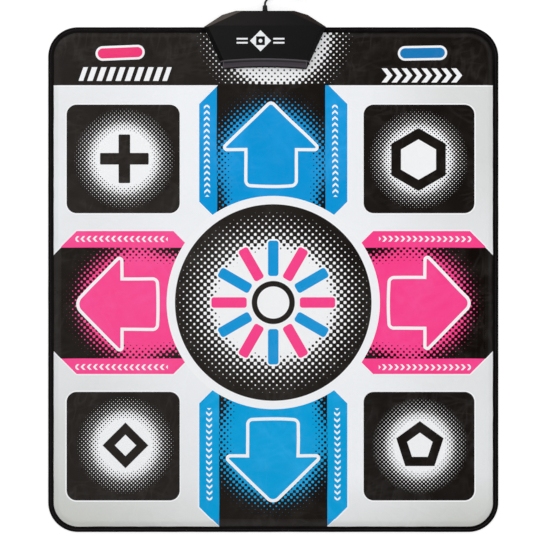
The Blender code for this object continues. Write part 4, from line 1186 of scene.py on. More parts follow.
# %% The printed film's finish
class Print(Finish):
    """The film's finish, whose inks are laid one over another."""

    def __init__(self, name, ground=None):
        super().__init__(name, ground)
        self.x, self.y = self.plan(MAT_PLACE)

    def line(self, depth, width):
        """A bright line just inside the place where a depth starts."""
        self.lay(depth.inked() * (width - depth).inked(), BRIGHT_INK)

    def marks(self, run, half_pitch, gap, row):
        """Bright marks along a run, inside a row's depth; the gap is half of what parts them."""
        self.lay((run.maths("PINGPONG", half_pitch) - gap).inked() * row.inked(), BRIGHT_INK)

    def ridges(self, folds):
        """The sum of some folds, each with its height."""
        return sum(self.fold(*shape) * height for *shape, height in folds)

    def fold(self, heading, length, width, share):
        turn = math.radians(heading)
        along = self.x * math.cos(turn) + self.y * math.sin(turn)
        across = self.y * math.cos(turn) - self.x * math.sin(turn)
        values = {"X": along / length, "Y": across / width, "Z": heading / 10}
        spot = self.node("ShaderNodeCombineXYZ", values=values)
        wave = self.node("ShaderNodeTexNoise", values={"Vector": spot, "Scale": 1.0, "Detail": 1.0})
        patch = self.grain(length * 1.6, detail=1.0, distortion=0.4).ramp(*FOLD_PATCH)
        return (1 - abs(wave - 0.5) / share).most(0.0) * patch

    def black(self):
        """Black ink, painted greyer away from the right side as a painted reflection, with soft smears of
        painted sheen.
        """
        # Painted reflection: the black is lighter towards the left, with smears of painted sheen on it.
        smear = self.grain(70.0, detail=5.0, distortion=1.0)
        reflection_side = self.x.ramp(0.5 * HALF_WIDTH, -0.6 * HALF_WIDTH)
        ink = self.mix(reflection_side, BLACK_INK, REFLECTION_BLACK)
        return self.mix(((smear - 0.52) * 2.4).most(0.0) * (reflection_side * 0.7 + 0.3), ink, SHEEN_SMEAR_BLACK)

    def finish(self, gloss=FILM_GLOSS):
        """The film's gloss, its soft unevenness and its folds, under the inks that were laid, with a painted
        highlight of sheen on the folds.
        """
        broad, fine = self.ridges(BROAD_FOLDS), self.ridges(FINE_FOLDS)
        smear = self.grain(60.0, detail=4.0, distortion=1.2)
        # Painted highlight: a pale sheen laid on the folds over the inks.
        self.lay(broad * PAINTED_SHEEN_SHARES[0] + fine * PAINTED_SHEEN_SHARES[1], PAINTED_SHEEN)
        height = self.grain(75.0, detail=1.0) * SWELL_LOOK + broad + fine + self.grain(3.2) * 0.012
        return self.wear(
            Base_Color=self.colour,
            Roughness=0.17 + self.grain(150.0, detail=1.0) * 0.12 + smear * 0.08,
            Specular_IOR_Level=gloss,
            Normal=self.relief(height),
        )


# %% [markdown]
# The field is the film between the zones: white, with a bright line round each zone, and a ring round the
# black disc in the middle. The white is painted darker towards the near edge, most at its left, and also
# towards the sides and the far right corner, as painted shade where the light falls off. The disc holds a
# glow and a plain rosette of bars in the mat's two colours.

# %% The field's print: the white and the disc
RING_WIDTH = 15.1
DISC_RADIUS = 177.8
DISC_RAMPS = ((131.0, 36.0), (172.0, 120.0))
DISC_SPREAD = (0.96, 1.03)
DISC_PITCH = 13.0
ROSETTE_BARS = 12
ROSETTE_RADIUS = 80.0
ROSETTE_BAR = (32.0, 9.5, 5.0)  # half its length, half its width, and its corners
ROSETTE_LINE = 3.0
RING_IN_ROSETTE = (34.0, 5.0)  # its radius, and half its width

field = Print("field_print", WHITE_INK)
x, y = field.x, field.y
black = field.black()
# Painted shade: the white is darkened towards the near edge, the sides and the far right corner, where the
# light falls off, with a random tone in it.
rightwards = x.ramp(-HALF_WIDTH, 2 * HALF_WIDTH)
nearwards = y.rise(-60, -370) * rightwards.rise(0.57, -1)
near_rim = y.rise(-355, -75) * (rightwards * 0.45 + 0.1)
far_right = y.ramp(60, 150) * rightwards.rise(0.6, 1)
sideways = abs(x).ramp(170, 150) * (rightwards * 0.15 + 0.18)
uneven = (field.grain(160.0, detail=3.0) - 0.5) * 0.2
painted_shade = nearwards * 1.2 + near_rim + far_right * 0.7 + sideways + uneven
field.lay(painted_shade.most(0.0).least(1.0), SHADED_WHITE)
from_seam = field.node("ShaderNodeAttribute", {"attribute_name": "seam"}, output="Fac")
field.lay((LINE_WIDTH - from_seam).inked(), BRIGHT_INK)

from_disc = y - DISC_Y
radius = span(x, from_disc)
in_disc = (DISC_RADIUS - radius).inked()
field.lay((DISC_RADIUS + RING_WIDTH - radius).inked(), RING_WHITE)
field.line(RING_WIDTH / 2 - abs(radius - DISC_RADIUS - RING_WIDTH / 2), LINE_WIDTH)
field.lay(in_disc, black)
glow = fading(span(x * DISC_SPREAD[0], from_disc * DISC_SPREAD[1]), *DISC_RAMPS)
field.lay(screen(x, from_disc, DISC_PITCH, glow) * in_disc, BRIGHT_INK)

angle = from_disc.maths("ARCTAN2", x)
local = angle.maths("WRAP", math.pi / ROSETTE_BARS, -math.pi / ROSETTE_BARS)
bar = slab(radius * local.maths("COSINE") - ROSETTE_RADIUS, radius * local.maths("SINE"), *ROSETTE_BAR)
field.lay((bar + ROSETTE_LINE).inked(), BRIGHT_INK)
even = (angle * (ROSETTE_BARS / 2)).maths("COSINE").inked(0.05)
field.lay(bar.inked(), field.mix(even, BLUE_INK, PINK_INK))
field.lay((RING_IN_ROSETTE[1] - abs(radius - RING_IN_ROSETTE[0])).inked(), black)
print("The disc is printed")

# %% [markdown]
# Round the panels' outer ends the black runs on into the binding. A black header at the far edge
# has a glow behind the housing. In it, slanted bars mark the left key and chevrons the right one.

# %% The field's print: the panels' ends and the header
FIELD_HALF = 98.0
LOW_END = -430.0
CORNER_SUM = 544.0  # of x and y, on the line that cuts off the near panel's blue corners
CORNER_END = 134.0
SIDE_FIELD_HALF = 100.35
SIDE_FIELD_SHIFT = -1.0
SIDE_FIELD_START = 381.0
SIDE_FIELD_CORNER = 484.5
SIDE_LINE = 3.5
HEADER_GLOW = (3.0, 446.0)
HEADER_RAMPS = ((116.0, 42.0), (137.0, 130.0))
HEADER_MOST = 0.78
HEADER_SPREAD = 0.95
HEADER_PITCH = 11.2
# Each row's middle, its marks' lean or bend, the row's half length, half width and corners, and its step
BARS_PLACE = (-268.0, 372.0)
BARS_LEAN = 0.35
BARS_ROW = (80.0, 12.4, 1.0)
BARS_STEP = (8.5, 3.6)
CHEVRONS_PLACE = (274.0, 369.5)
CHEVRONS_BEND = 0.8
CHEVRONS_SHIFT = 2.0
CHEVRONS_ROW = (72.0, 12.8, 1.0)
CHEVRONS_STEP = (9.0, 4.2)

low_end = (LOW_END - y).inked()
from_corner = CORNER_SUM - abs(x) - abs(y)
blue_run = from_corner.inked() * (abs(x) - FIELD_HALF).inked() * low_end
corner_line = (from_corner + LINE_WIDTH).inked() * low_end * (CORNER_END - abs(x)).inked()
field.lay(corner_line - blue_run, BRIGHT_INK)
field.lay(blue_run, BLUE_INK)
field.lay((FIELD_HALF - abs(x)).inked() * low_end, black)
side_across = abs(from_disc - SIDE_FIELD_SHIFT)
from_corner = SIDE_FIELD_CORNER - abs(x) - side_across
side_end = (abs(x) - SIDE_FIELD_START).inked() * (SIDE_FIELD_HALF - side_across).inked()
field.lay((from_corner + SIDE_LINE).inked() * side_end, BRIGHT_INK)
field.lay(from_corner.inked() * side_end, black)

header = (y - HEADER_LINE).inked()
field.lay((y - HEADER_LINE + LINE_WIDTH).inked() * (abs(x) - FIELD_HALF).inked(), BRIGHT_INK)
field.lay(header, black)
glow_x, glow_y = x - HEADER_GLOW[0], y - HEADER_GLOW[1]
glow = fading(span(glow_x * HEADER_SPREAD, glow_y), *HEADER_RAMPS).least(HEADER_MOST)
field.lay(screen(glow_x, glow_y, HEADER_PITCH, glow) * header, BRIGHT_INK)
across = y - BARS_PLACE[1]
lean = x - BARS_PLACE[0] - across * BARS_LEAN
field.marks(lean, *BARS_STEP, slab(lean, across, *BARS_ROW))
across = y - CHEVRONS_PLACE[1]
point = x - CHEVRONS_PLACE[0] + abs(across) * CHEVRONS_BEND
field.marks(point, *CHEVRONS_STEP, slab(point - CHEVRONS_SHIFT, across, *CHEVRONS_ROW))
dress(printed_film, field.finish())
print(f"The field's print has {len(field.tree.nodes)} nodes")

# %% [markdown]
# A panel carries a large arrow, outlined in white, on a black field that its colour floods from
# the ring and leaves in dots towards the outer end. Beside the field run two plain strips with a
# row of small chevrons. One function prints a panel in its own directions, along and across.

# %% Sizes of the arrow panels
PALE_BLUE = (0.0, 0.355, 0.725, 1.0)
PALE_PINK = (1.0, 0.070, 0.290, 1.0)
# Each panel's ink, its shift across and its flood's middle, and then its arrow: tip, tip's
# radius, head's base, tail and shift across
PANELS = {
    "up": (BLUE_INK, -4.0, 260.0, (363.6, 11.0, 273.6, 207.3, -0.2)),
    "down": (PALE_BLUE, 0.0, 260.0, (361.4, 16.5, 274.7, 207.8, -0.6)),
    "left": (PALE_PINK, SIDE_FIELD_SHIFT, 252.0, (356.6, 21.0, 270.8, 205.3, -1.8)),
    "right": (PINK_INK, SIDE_FIELD_SHIFT, 256.0, (356.9, 19.0, 271.4, 205.1, 0.5)),
}
HEAD_SPREAD = 1.03
SHAFT_HALF = 48.6
SHAFT_END = 62.0  # inside the head, from the tip
ARROW_LINE = 5.7
BARB_RADIUS = 7.4
TAIL_RADIUS = 11.0
TAIL_ARCH = -0.0009
STRIP_MIDDLE = 116.0
STRIP_ENDS = (191.0, 358.0)
STRIP_HALF = 5.2
STRIP_STEP = (5.5, 3.4)
STRIP_BEND = 0.9
PANEL_PITCH = 11.0
PANEL_GLOSS = 0.08
# Fold ridges painted as highlights on a panel's flood, in the same columns as the film's folds.
PANEL_FOLD_HIGHLIGHTS = ((20, 60.0, 24.0, 0.2, 0.3), (-55, 50.0, 20.0, 0.18, 0.3))
FLOOD_RAMPS = ((119.0, 58.0), (135.0, 400.0))
FLOOD_START = 15.0  # how far before the head's base the dots start, and half of how long that takes
WARP = 3.0  # how far the film's slow unevenness carries the print

# %% The arrow panels' prints
def arrow_depth(along, across, tip, tip_radius, head_base, tail, shift):
    """Depth inside the arrow's outline."""
    across = across - shift
    size = math.hypot(1, HEAD_SPREAD)
    sharp_tip = tip + tip_radius * (size / HEAD_SPREAD - 1)
    sides = [((sharp_tip - along) * HEAD_SPREAD + across * side) / size for side in (-1, 1)]
    slants = rounded_corner(*sides, (HEAD_SPREAD**2 - 1) / size**2, tip_radius)
    head = rounded_corner(slants, along - head_base, -HEAD_SPREAD / size, BARB_RADIUS)
    arched = along - tail + across * across * TAIL_ARCH
    shaft = rounded_corner(SHAFT_HALF - abs(across), arched, 0.0, TAIL_RADIUS)
    return head.most(shaft.least(tip - SHAFT_END - along))


def lighter(ink, times, more=0.0):
    return (*(min(1.0, share * times + more) for share in ink[:3]), 1.0)


def panel_print(way):
    ink, shift, flood_middle, arrow = PANELS[way]
    half = FIELD_HALF if way in UPRIGHT else SIDE_FIELD_HALF
    panel = Print(f"{way}_panel_print")
    x = panel.x + (panel.grain(95.0, detail=1.0) - 0.5) * WARP
    y = panel.y - DISC_Y + (panel.grain(105.0, detail=1.0) - 0.5) * WARP
    along, across = (y, x) if way in UPRIGHT else (x, y)
    if way in ("down", "left"):
        along = along * -1
    across = across - shift

    # Painted highlights: the flood is lighter in soft patches of painted sheen and along painted fold ridges.
    sheen = panel.grain(90.0, detail=3.0, distortion=0.8)
    flood = panel.mix((sheen - 0.45) * 1.3, ink, lighter(ink, 1.1))
    flood = panel.mix(panel.ridges(PANEL_FOLD_HIGHLIGHTS), flood, lighter(ink, 1.18, 0.03))
    beside = abs(across).rise(half - 30, 30)
    toe = abs(across).rise(62, 36) * along.rise(232, -45)
    inner = 1.02 - beside * 0.5 - toe * 0.42
    outer = fading(span(along - flood_middle, across), *FLOOD_RAMPS)
    outwards = along.ramp(arrow[2] - FLOOD_START, 2 * FLOOD_START)
    coverage = (inner + (outer - inner) * outwards).most(0.0).least(1.0)
    in_field = (half - abs(across)).inked()
    depth = arrow_depth(along, across, *arrow)
    panel.colour = flood
    panel.lay(in_field, panel.black())
    dots = screen(across, along, PANEL_PITCH, coverage)
    panel.lay(dots.most(depth.inked()) * in_field, flood)
    panel.line(depth, ARROW_LINE)

    strip = abs(across) - STRIP_MIDDLE
    start, end = STRIP_ENDS
    row = slab(along - (start + end) / 2, strip, (end - start) / 2, STRIP_HALF, 0.5)
    panel.marks(along + abs(strip) * STRIP_BEND, *STRIP_STEP, row)
    panel.lay((panel.y - HEADER_LINE).inked(), panel.black())
    return panel.finish(gloss=PANEL_GLOSS)


for way in PANELS:
    dress(patches[f"{way}_step"], panel_print(way))
print(f"{len(PANELS)} arrow panels are printed")

# %% [markdown]
# A corner square is black with a white glow of fine dots, and a plain dark figure in the middle:
# a plus, a hexagon, a diamond or a pentagon. A key is a small pill with a white rim on the black
# header, pink for the left one and blue for the right.

# %% The squares' and the keys' prints
SQUARE_PITCH = 7.2
# Each ramp of a square's glow: where it ends, from the dots' end, and its width
GLOW_RAMPS = ((1.0, 76.0), (-9.5, 38.0), (-30.0, 12.0))
# Each glow's middle from the square's own, and where its dots end
GLOWS = {
    "top_left": (2.2, 0.2, 92.0),
    "top_right": (-1.0, -1.2, 91.0),
    "bottom_left": (4.2, 1.5, 89.0),
    "bottom_right": (1.5, 0.4, 88.0),
}
# For each figure: sides, turn, distance to the middle of its line, and half the line's width
FIGURES = {
    "top_right": (6, 0.0, 40.5, 8.8),
    "bottom_left": (4, math.pi / 4, 21.5, 7.8),
    "bottom_right": (5, math.pi / 10, 28.0, 8.4),
}
PLUS_ARM = 44.0
PLUS_HALF = 10.5
PLUS_CORNER = 2.0
PILL_HALF = (44.5, 13.2)
PILL_LINE = 4.0
# Each pill's ink, its middle from its key's own, and its turn in degrees: the print is a little off
PILLS = {
    "select": ((0.92, 0.035, 0.190, 1.0), -4.1, -1.1, 2.3),
    "start": ((0.0006, 0.195, 0.510, 1.0), -3.0, -1.6, 1.0),
}


def zone_middle(zone):
    left, right, near, far = zone_box(zone)
    return (left + right) / 2, (near + far) / 2


def square_print(place):
    square = Print(f"{place}_print")
    middle_x, middle_y = zone_middle(f"{place}_step")
    glow_x, glow_y, glow_end = GLOWS[place]
    x, y = square.x - (middle_x + glow_x), square.y - (middle_y + glow_y)
    black = square.black()
    square.colour = black
    glow = fading(span(x, y), *((glow_end + shift, width) for shift, width in GLOW_RAMPS))
    square.lay(screen(x, y, SQUARE_PITCH, glow), BRIGHT_INK)
    if place in FIGURES:
        sides, turn, middle, half = FIGURES[place]
        figure = half - abs(polygon(x, y, sides, turn) - middle)
    else:
        upright = slab(x, y, PLUS_HALF, PLUS_ARM, PLUS_CORNER)
        figure = upright.most(slab(x, y, PLUS_ARM, PLUS_HALF, PLUS_CORNER))
    square.lay(figure.inked(), black)
    return square.finish()


def key_print(key):
    pill = Print(f"{key}_key_print")
    ink, pill_x, pill_y, degrees = PILLS[key]
    middle_x, middle_y = zone_middle(f"{key}_key")
    x, y = pill.x - (middle_x + pill_x), pill.y - (middle_y + pill_y)
    cosine, sine = math.cos(math.radians(degrees)), math.sin(math.radians(degrees))
    pill.colour = pill.black()
    depth = slab(x * cosine + y * sine, y * cosine - x * sine, *PILL_HALF, PILL_HALF[1])
    pill.lay(depth.inked(), BRIGHT_INK)
    pill.lay((depth - PILL_LINE).inked(), ink)
    return pill.finish()


for place in SQUARES:
    dress(patches[f"{place}_step"], square_print(place))
for key in KEYS:
    dress(patches[f"{key}_key"], key_print(key))
print("The squares and the keys are printed")

# %% [markdown]
# ## The housing
#
# The controller's housing is a moulded shell, wider than it is deep. Its sides open towards the
# rear, its back is flat with two slanted corners, and its front is hollowed a little. The walls
# lean in as they rise, and the front one is a scooped lip. The top is level up to a crease between
# the widest points and falls a little behind it. So the shell is made from loops: each is the
# plan, moved inwards by as much as each wall leans at that height.

# %% The shell's plan and its loops
HOLLOW = 3.5
HOLLOW_STEPS = 24
SHELL_LOW = MAT_TOP + SEAT
SKIRT_TOP = SHELL_LOW + 5.5
SHELL_TOP = 32.0
TOP_EDGE = 1.0
DRAFT = 0.3
SHELL_WALL = 2.2
SIDE_LEAN = 6.5
REAR_SIDE_LEAN = 5.0
REAR_LEAN = 2.0
LIP_LEAN = 13.2
SCOOP = 2.2
REAR_FALL = 1.5
STRAIGHT_ON = 0.02  # two sides that turn by less than this count as one
RISE_SHARES = (0.0, 0.04, 0.1, 0.2, 0.35, 0.55, 0.8, 1.0)
INNER_SHARES = (0.0, 0.2, 0.55, 1.0)
KINKS = ((1, 2, 3), (6, 5, 4))  # places in the plan of each widest corner, kink and rear corner

rear_corner = (HOUSING_REAR_HALF, HOUSING_REAR)
plan = mirrored([(HOUSING_FRONT_HALF, -HOUSING_FRONT), (HOUSING_HALF, 0.0), HOUSING_KINK, rear_corner])
side_leans = [SIDE_LEAN, REAR_SIDE_LEAN, REAR_SIDE_LEAN]
wall_leans = [*side_leans, REAR_LEAN, *reversed(side_leans)] + [None] * HOLLOW_STEPS
for step in range(1, HOLLOW_STEPS):
    share = 2 * step / HOLLOW_STEPS - 1
    plan.append((HOUSING_FRONT_HALF * share, HOLLOW * (1 - share**2) - HOUSING_FRONT))


def moved_in(outline, distances):
    """The outline with each side moved inwards by its own distance."""
    points = []
    for i, (x, y) in enumerate(outline):
        (px, py), (nx, ny) = outline[i - 1], outline[(i + 1) % len(outline)]
        before = Vector((py - y, x - px)).normalized()
        after = Vector((y - ny, nx - x)).normalized()
        d1, d2 = distances[i - 1], distances[i]
        turn = before.x * after.y - before.y * after.x
        if abs(turn) < STRAIGHT_ON:
            shift = (before + after).normalized() * (d1 + d2) / 2
        else:
            shift = Vector((d1 * after.y - d2 * before.y, d2 * before.x - d1 * after.x)) / turn
        points.append((x + shift.x, y + shift.y))
    return points


def skirt_loop(distance):
    """The plan at the bottom, further in by one distance."""
    return [(x, y, SHELL_LOW) for x, y in moved_in(plan, [distance] * len(plan))]


def shell_loop(share, high, further=0.0):
    """The outline at a share of the walls' rise to high, with its kinks and its fall."""
    lip = LIP_LEAN * (1 - (1 - share) ** SCOOP)
    start = DRAFT * (1 - share) + further
    loop = moved_in(plan, [(lip if lean is None else lean * share) + start for lean in wall_leans])
    for widest, kink, rear in KINKS:
        corner = Vector(loop[widest])
        chord = Vector(loop[rear]) - corner
        bend = Vector(loop[kink])
        straight = corner + chord * (bend - corner).dot(chord) / chord.length_squared
        loop[kink] = tuple(bend.lerp(straight, share))
    crease = loop[1][1]
    level = SKIRT_TOP + (high - SKIRT_TOP) * share
    slope = REAR_FALL * share / HOUSING_REAR
    return [(x, y, level - slope * max(y - crease, 0)) for x, y in loop]


inner_loops = [skirt_loop(SHELL_WALL)]
inner_loops += [shell_loop(share, SHELL_TOP - SHELL_WALL, SHELL_WALL) for share in INNER_SHARES]
outer_loops = [skirt_loop(0)] + [shell_loop(share, SHELL_TOP - TOP_EDGE) for share in RISE_SHARES]
shell_loops = [*reversed(inner_loops), *outer_loops, shell_loop(1, SHELL_TOP, TOP_EDGE)]
print(f"The shell has {len(shell_loops)} loops of {len(plan)} points")

# %% [markdown]
# The loops run from the ceiling down inside, and up outside to the top. Each end is closed by two
# flat faces that meet at the crease. A Bevel modifier rounds the edges by less than a millimetre,
# which catches the light as moulded edges do.

# %% The upper shell
EDGE_ROUND = 0.7
EDGE_ANGLE = 16
LEFT_WIDEST = 6  # the place of the left widest point in the plan; the right one is at 1


def lid(start):
    """Two flat faces over the loop that starts at a point, which meet between its widest points."""
    loop = list(range(start, start + len(plan)))
    return [loop[1 : LEFT_WIDEST + 1], loop[LEFT_WIDEST:] + loop[:2]]


shell_points, shell_faces = joined(shell_loops)
shell_faces = shell_faces[:-2] + [face[::-1] for face in lid(0)] + lid(len(shell_points) - len(plan))
housing = make_piece("moulded_shell", shell_points, shell_faces, HOUSING_PLACE, "shell", ["housing_top"])
rounding = housing.modifiers.new("edges", "BEVEL")
rounding.width = EDGE_ROUND * MM
rounding.segments = 3
rounding.limit_method = "ANGLE"
rounding.angle_limit = math.radians(EDGE_ANGLE)
rounding.harden_normals = True
print(f"The shell's top lies {SHELL_TOP} mm above the floor")

# %% [markdown]
# The shell is black plastic with a fine moulded texture. Its lip is finished smoother than the walls, and is
# painted lighter and slightly purple as a painted reflection, with a darker band, a faint stripe and painted
# highlights along its top edge and ends. The top is painted lighter towards the left and the rear, the steep
# walls near black as painted shade, and the rear facets lighter at the left and darker at the right. The
# finish tells the lip from the rest by its place in plan, and the walls by the way they face. A plain
# pictogram of four arrowheads, a dot and short bars is printed on the top.

# %% The housing's finish
SHELL_DEEP = (0.0040, 0.0036, 0.0036, 1.0)
# The next five colours are painted light and shade: a lit top, a reflection at the rear, shaded walls, and a
# lit and a shaded rear facet.
SHELL_LIT = (0.0088, 0.0080, 0.0080, 1.0)
REAR_REFLECTION = (0.0240, 0.0190, 0.0190, 1.0)
WALL_SHADE = (0.0008, 0.0006, 0.0006, 1.0)
LEFT_FACET_LIGHT = (0.085, 0.072, 0.064, 1.0)
RIGHT_FACET_SHADE = (0.016, 0.010, 0.007, 1.0)
# The lip's three colours are painted reflection and painted highlight.
LIP_SHEEN = (0.068, 0.057, 0.068, 1.0)
LIP_DARK_REFLECTION = (0.030, 0.025, 0.030, 1.0)
LIP_EDGE_HIGHLIGHT = (0.115, 0.105, 0.115, 1.0)
LIP_START = 2.3
LIP_END = 1.9
LIP_CORNER = 1.1  # how much faster than the side the lip's end leans in
# Where the lip's painted top highlight and its darker painted band lie.
TOP_HIGHLIGHT = (0.6, 1.0)  # behind the lip, and half its width
DARK_REFLECTION_BAND = (11.0, 1.4)
LIP_STRIPE = (7.4, 0.4)
MARK_PLACE = (-8.0, -27.0)
MARK_WHITE = (0.86, 0.88, 0.90, 1.0)
HEAD_ENDS = (8.0, 19.0)  # an arrowhead's base and tip, from the mark's middle
MARK_DOT = 3.4
MARK_BARS = (33.0, 10.0, 3.6, 1.5)  # middle and half length along, middle and half width across

shell_plastic = Finish("housing_plastic")
x, y = shell_plastic.plan(HOUSING_PLACE)
normal = shell_plastic.node("ShaderNodeTexCoord", output="Normal")
sideways = shell_plastic.node("ShaderNodeSeparateXYZ", values={0: normal})
rearwards, upwards = sideways.other("Y"), sideways.other("Z")
fine = shell_plastic.grain(0.55, detail=2.0)
broad = shell_plastic.grain(30.0, detail=4.0)
steep = (0.72 - upwards).inked(0.1)
behind = (rearwards - 0.2).inked(0.1) * steep
leftwards = x.ramp(HOUSING_HALF, -2 * HOUSING_HALF)
# Painted light: the top is lighter towards the left, where the light comes from, with a random tone, and a
# painted reflection lightens its rear.
shell_plastic.colour = shell_plastic.mix(leftwards * 0.8 + broad * 0.4 - 0.2, SHELL_DEEP, SHELL_LIT)
shell_plastic.lay((y - 0.5).inked(0.8) * leftwards * 0.5, REAR_REFLECTION)
# Painted shade: the steep walls are painted near black.
shell_plastic.lay(steep, WALL_SHADE)
# Painted light and shade: the left rear facet is painted lighter and the right one darker, as the light falls
# from the left.
shell_plastic.lay(behind * (-0.1 - sideways).inked(0.1), LEFT_FACET_LIGHT)
shell_plastic.lay(behind * (sideways - 0.1).inked(0.1), RIGHT_FACET_SHADE)

mark_x, mark_y = abs(x - MARK_PLACE[0]), abs(y - MARK_PLACE[1])
outwards, beside = mark_x.most(mark_y), mark_x.least(mark_y)
heads = (outwards - HEAD_ENDS[0]).least((HEAD_ENDS[1] - outwards - beside) * 0.7)
bars = (MARK_BARS[1] - abs(mark_x - MARK_BARS[0])).least(MARK_BARS[3] - abs(mark_y - MARK_BARS[2]))
mark = heads.most(MARK_DOT - span(mark_x, mark_y)).most(bars)
shell_plastic.lay(mark.inked(0.2) * (upwards - 0.9).inked(0.05), MARK_WHITE)

across = x / HOUSING_FRONT_HALF
into_lip = y - (1 - across * across) * HOLLOW + HOUSING_FRONT
lip_face = (-0.25 - rearwards - abs(sideways)).inked(0.1)
lip = lip_face * (into_lip - LIP_START).inked(0.4)
share = 1 - (1 - into_lip / LIP_LEAN).most(0.0).maths("POWER", 1 / SCOOP)
side = y * ((HOUSING_HALF - HOUSING_FRONT_HALF) / HOUSING_FRONT) + HOUSING_HALF
from_corner = side - share * (SIDE_LEAN * LIP_CORNER) - abs(x)
lip_end_highlights = (LIP_END - from_corner).inked(0.5) * lip
top_highlight = (TOP_HIGHLIGHT[1] - abs(into_lip - LIP_LEAN - TOP_HIGHLIGHT[0])).inked(0.4) * (-0.15 - rearwards).inked(0.1)
dark_reflection_band = (DARK_REFLECTION_BAND[1] - abs(into_lip - DARK_REFLECTION_BAND[0])).inked(0.5)
stripe = (LIP_STRIPE[1] - abs(into_lip - LIP_STRIPE[0])).inked(0.4) * 0.4
# Painted reflection on the lip: a lighter purple-grey with a darker band and a faint stripe, then painted
# highlights along its top edge and its ends.
shell_plastic.lay(lip, shell_plastic.mix(dark_reflection_band.most(stripe), LIP_SHEEN, LIP_DARK_REFLECTION))
shell_plastic.lay(lip_end_highlights.most(top_highlight), LIP_EDGE_HIGHLIGHT)
shell_plastic.wear(
    Base_Color=shell_plastic.colour,
    Roughness=0.42 + fine * 0.12 + steep * (1 - lip) * 0.36,
    Specular_IOR_Level=0.15,
    Normal=shell_plastic.relief(fine * 0.035),
)
dress(housing, shell_plastic.material)
print(f"The housing's finish has {len(shell_plastic.tree.nodes)} nodes")

# %% [markdown]
# ## Screws and what lies inside
#
# Four screws come up from below and hold the shells together. Their heads sit in wells, and each
# has a cross recess. One screw is modelled: turned rings for its head, shank and thread, and a
# face with a cross pocket. Geometry Nodes then place it at all four wells, found in the frame.

# %% One screw's sizes
HEAD_RADIUS = 2.75
HEAD_HEIGHT = 1.8
SHANK_RADIUS = 1.25
ROOT_RADIUS = SHANK_RADIUS - 0.22
THREAD_PITCH = 0.9
THREAD_START = 0.8
THREAD_SHARES = ((ROOT_RADIUS, 0.0), (SHANK_RADIUS, 0.45), (ROOT_RADIUS, 0.9))
THREAD_FREE = 2.5  # the length of the shank that carries no thread
POINT_LENGTH = 1.2
POINT_RADIUS = 0.25
SCREW_SIDES = 20
CROSS_REACH = 1.75
CROSS_HALF = 0.42
CROSS_DEPTH = 1.1
CROSS_TAPER = 0.7


def cross_outline():
    quarter = [(CROSS_REACH, -CROSS_HALF), (CROSS_REACH, CROSS_HALF), (CROSS_HALF, CROSS_HALF)]
    outline = []
    for _ in range(4):
        outline += quarter
        quarter = [(-y, x) for x, y in quarter]
    return outline


# %% Its mesh
def screw_mesh(length):
    """A screw with its head at the bottom, in metres, from its head's face up."""
    profile = [(HEAD_RADIUS - 0.5, 0.0), (HEAD_RADIUS - 0.12, 0.18), (HEAD_RADIUS, 0.55)]
    profile += [(HEAD_RADIUS, HEAD_HEIGHT - 0.2), (HEAD_RADIUS - 0.2, HEAD_HEIGHT)]
    profile.append((SHANK_RADIUS, HEAD_HEIGHT))
    for turn in range(int((length - HEAD_HEIGHT - THREAD_FREE) / THREAD_PITCH)):
        start = HEAD_HEIGHT + THREAD_START + turn * THREAD_PITCH
        profile += [(radius, start + THREAD_PITCH * share) for radius, share in THREAD_SHARES]
    profile += [(ROOT_RADIUS, length - POINT_LENGTH), (POINT_RADIUS, length)]
    points, faces = joined([[(x, y, z) for x, y in circle(radius, SCREW_SIDES)] for radius, z in profile])
    faces.pop(-2)
    cross = cross_outline()
    face_spots, face_parts = triangles([circle(profile[0][0], SCREW_SIDES), cross], [], [cross])
    first = len(points)
    points += [(x, y, 0.0) for x, y in face_spots]
    faces += [[first + i for i in reversed(face)] for face in face_parts]
    pocket, pocket_faces = joined(
        [[(x, y, 0.0) for x, y in cross], [(x * CROSS_TAPER, y * CROSS_TAPER, CROSS_DEPTH) for x, y in cross]]
    )
    pocket_faces.pop(-2)
    first = len(points)
    points += pocket
    faces += [[first + i for i in reversed(face)] for face in pocket_faces]
    mesh = bpy.data.meshes.new("screw")
    mesh.from_pydata(in_metres(points, (0, 0)), [], faces)
    shaper = bmesh.new()
    shaper.from_mesh(mesh)
    bmesh.ops.remove_doubles(shaper, verts=shaper.verts, dist=0.01 * MM)
    shaper.to_mesh(mesh)
    shaper.free()
    return mesh


# %% The four housing screws
SCREW_NODES = [f"housing_screw_{end}_{side}" for end in ("front", "rear") for side in ("left", "right")]


def screw_pattern(recipe, given):
    one = recipe.node("GeometryNodeObjectInfo", values={"Object": screw_seed}, output="Geometry")
    return {"Points": given, "Instance": one}


wells = [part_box(node) for node in SCREW_NODES]
screw_seed = bpy.data.objects.new("screw_seed", screw_mesh((wells[0][1].z - wells[0][0].z) / MM))
screw_places = bpy.data.meshes.new("screw_places")
spots = [((low.x + high.x) / 2, (low.y + high.y) / 2, low.z) for low, high in wells]
screw_places.from_pydata(spots, [], [])
steel = moulded("plated_steel", (0.56, 0.56, 0.58, 1.0), (0.44, 0.44, 0.45, 1.0), 0.34, 0.4, 0.01, 1.0)
screws = grown("housing_screws", screw_places, "steel", steel, {}, screw_pattern, SCREW_NODES)
bpy.data.objects.remove(screw_seed)
print(f"{len(spots)} screws of {len(screws.data.polygons) // len(spots)} faces each")

# %% [markdown]
# The other solids keep their shapes and get their real finishes, because they show when the mat
# is taken apart: foam with open cells, milky contact film with printed carbon lines, a green
# board with its traces, black potting over the chip, and plain metal and rubber.

# %% Finishes of foam, film and board
def foam_finish(name, pale, deep):
    foam = Finish(name)
    pores = foam.cells(1.6)
    tone = foam.grain(40.0, detail=3.0)
    return foam.wear(
        Base_Color=foam.mix(pores * 0.7 + tone * 0.3, pale, deep),
        Roughness=0.95,
        Normal=foam.relief(pores * 0.25),
    )


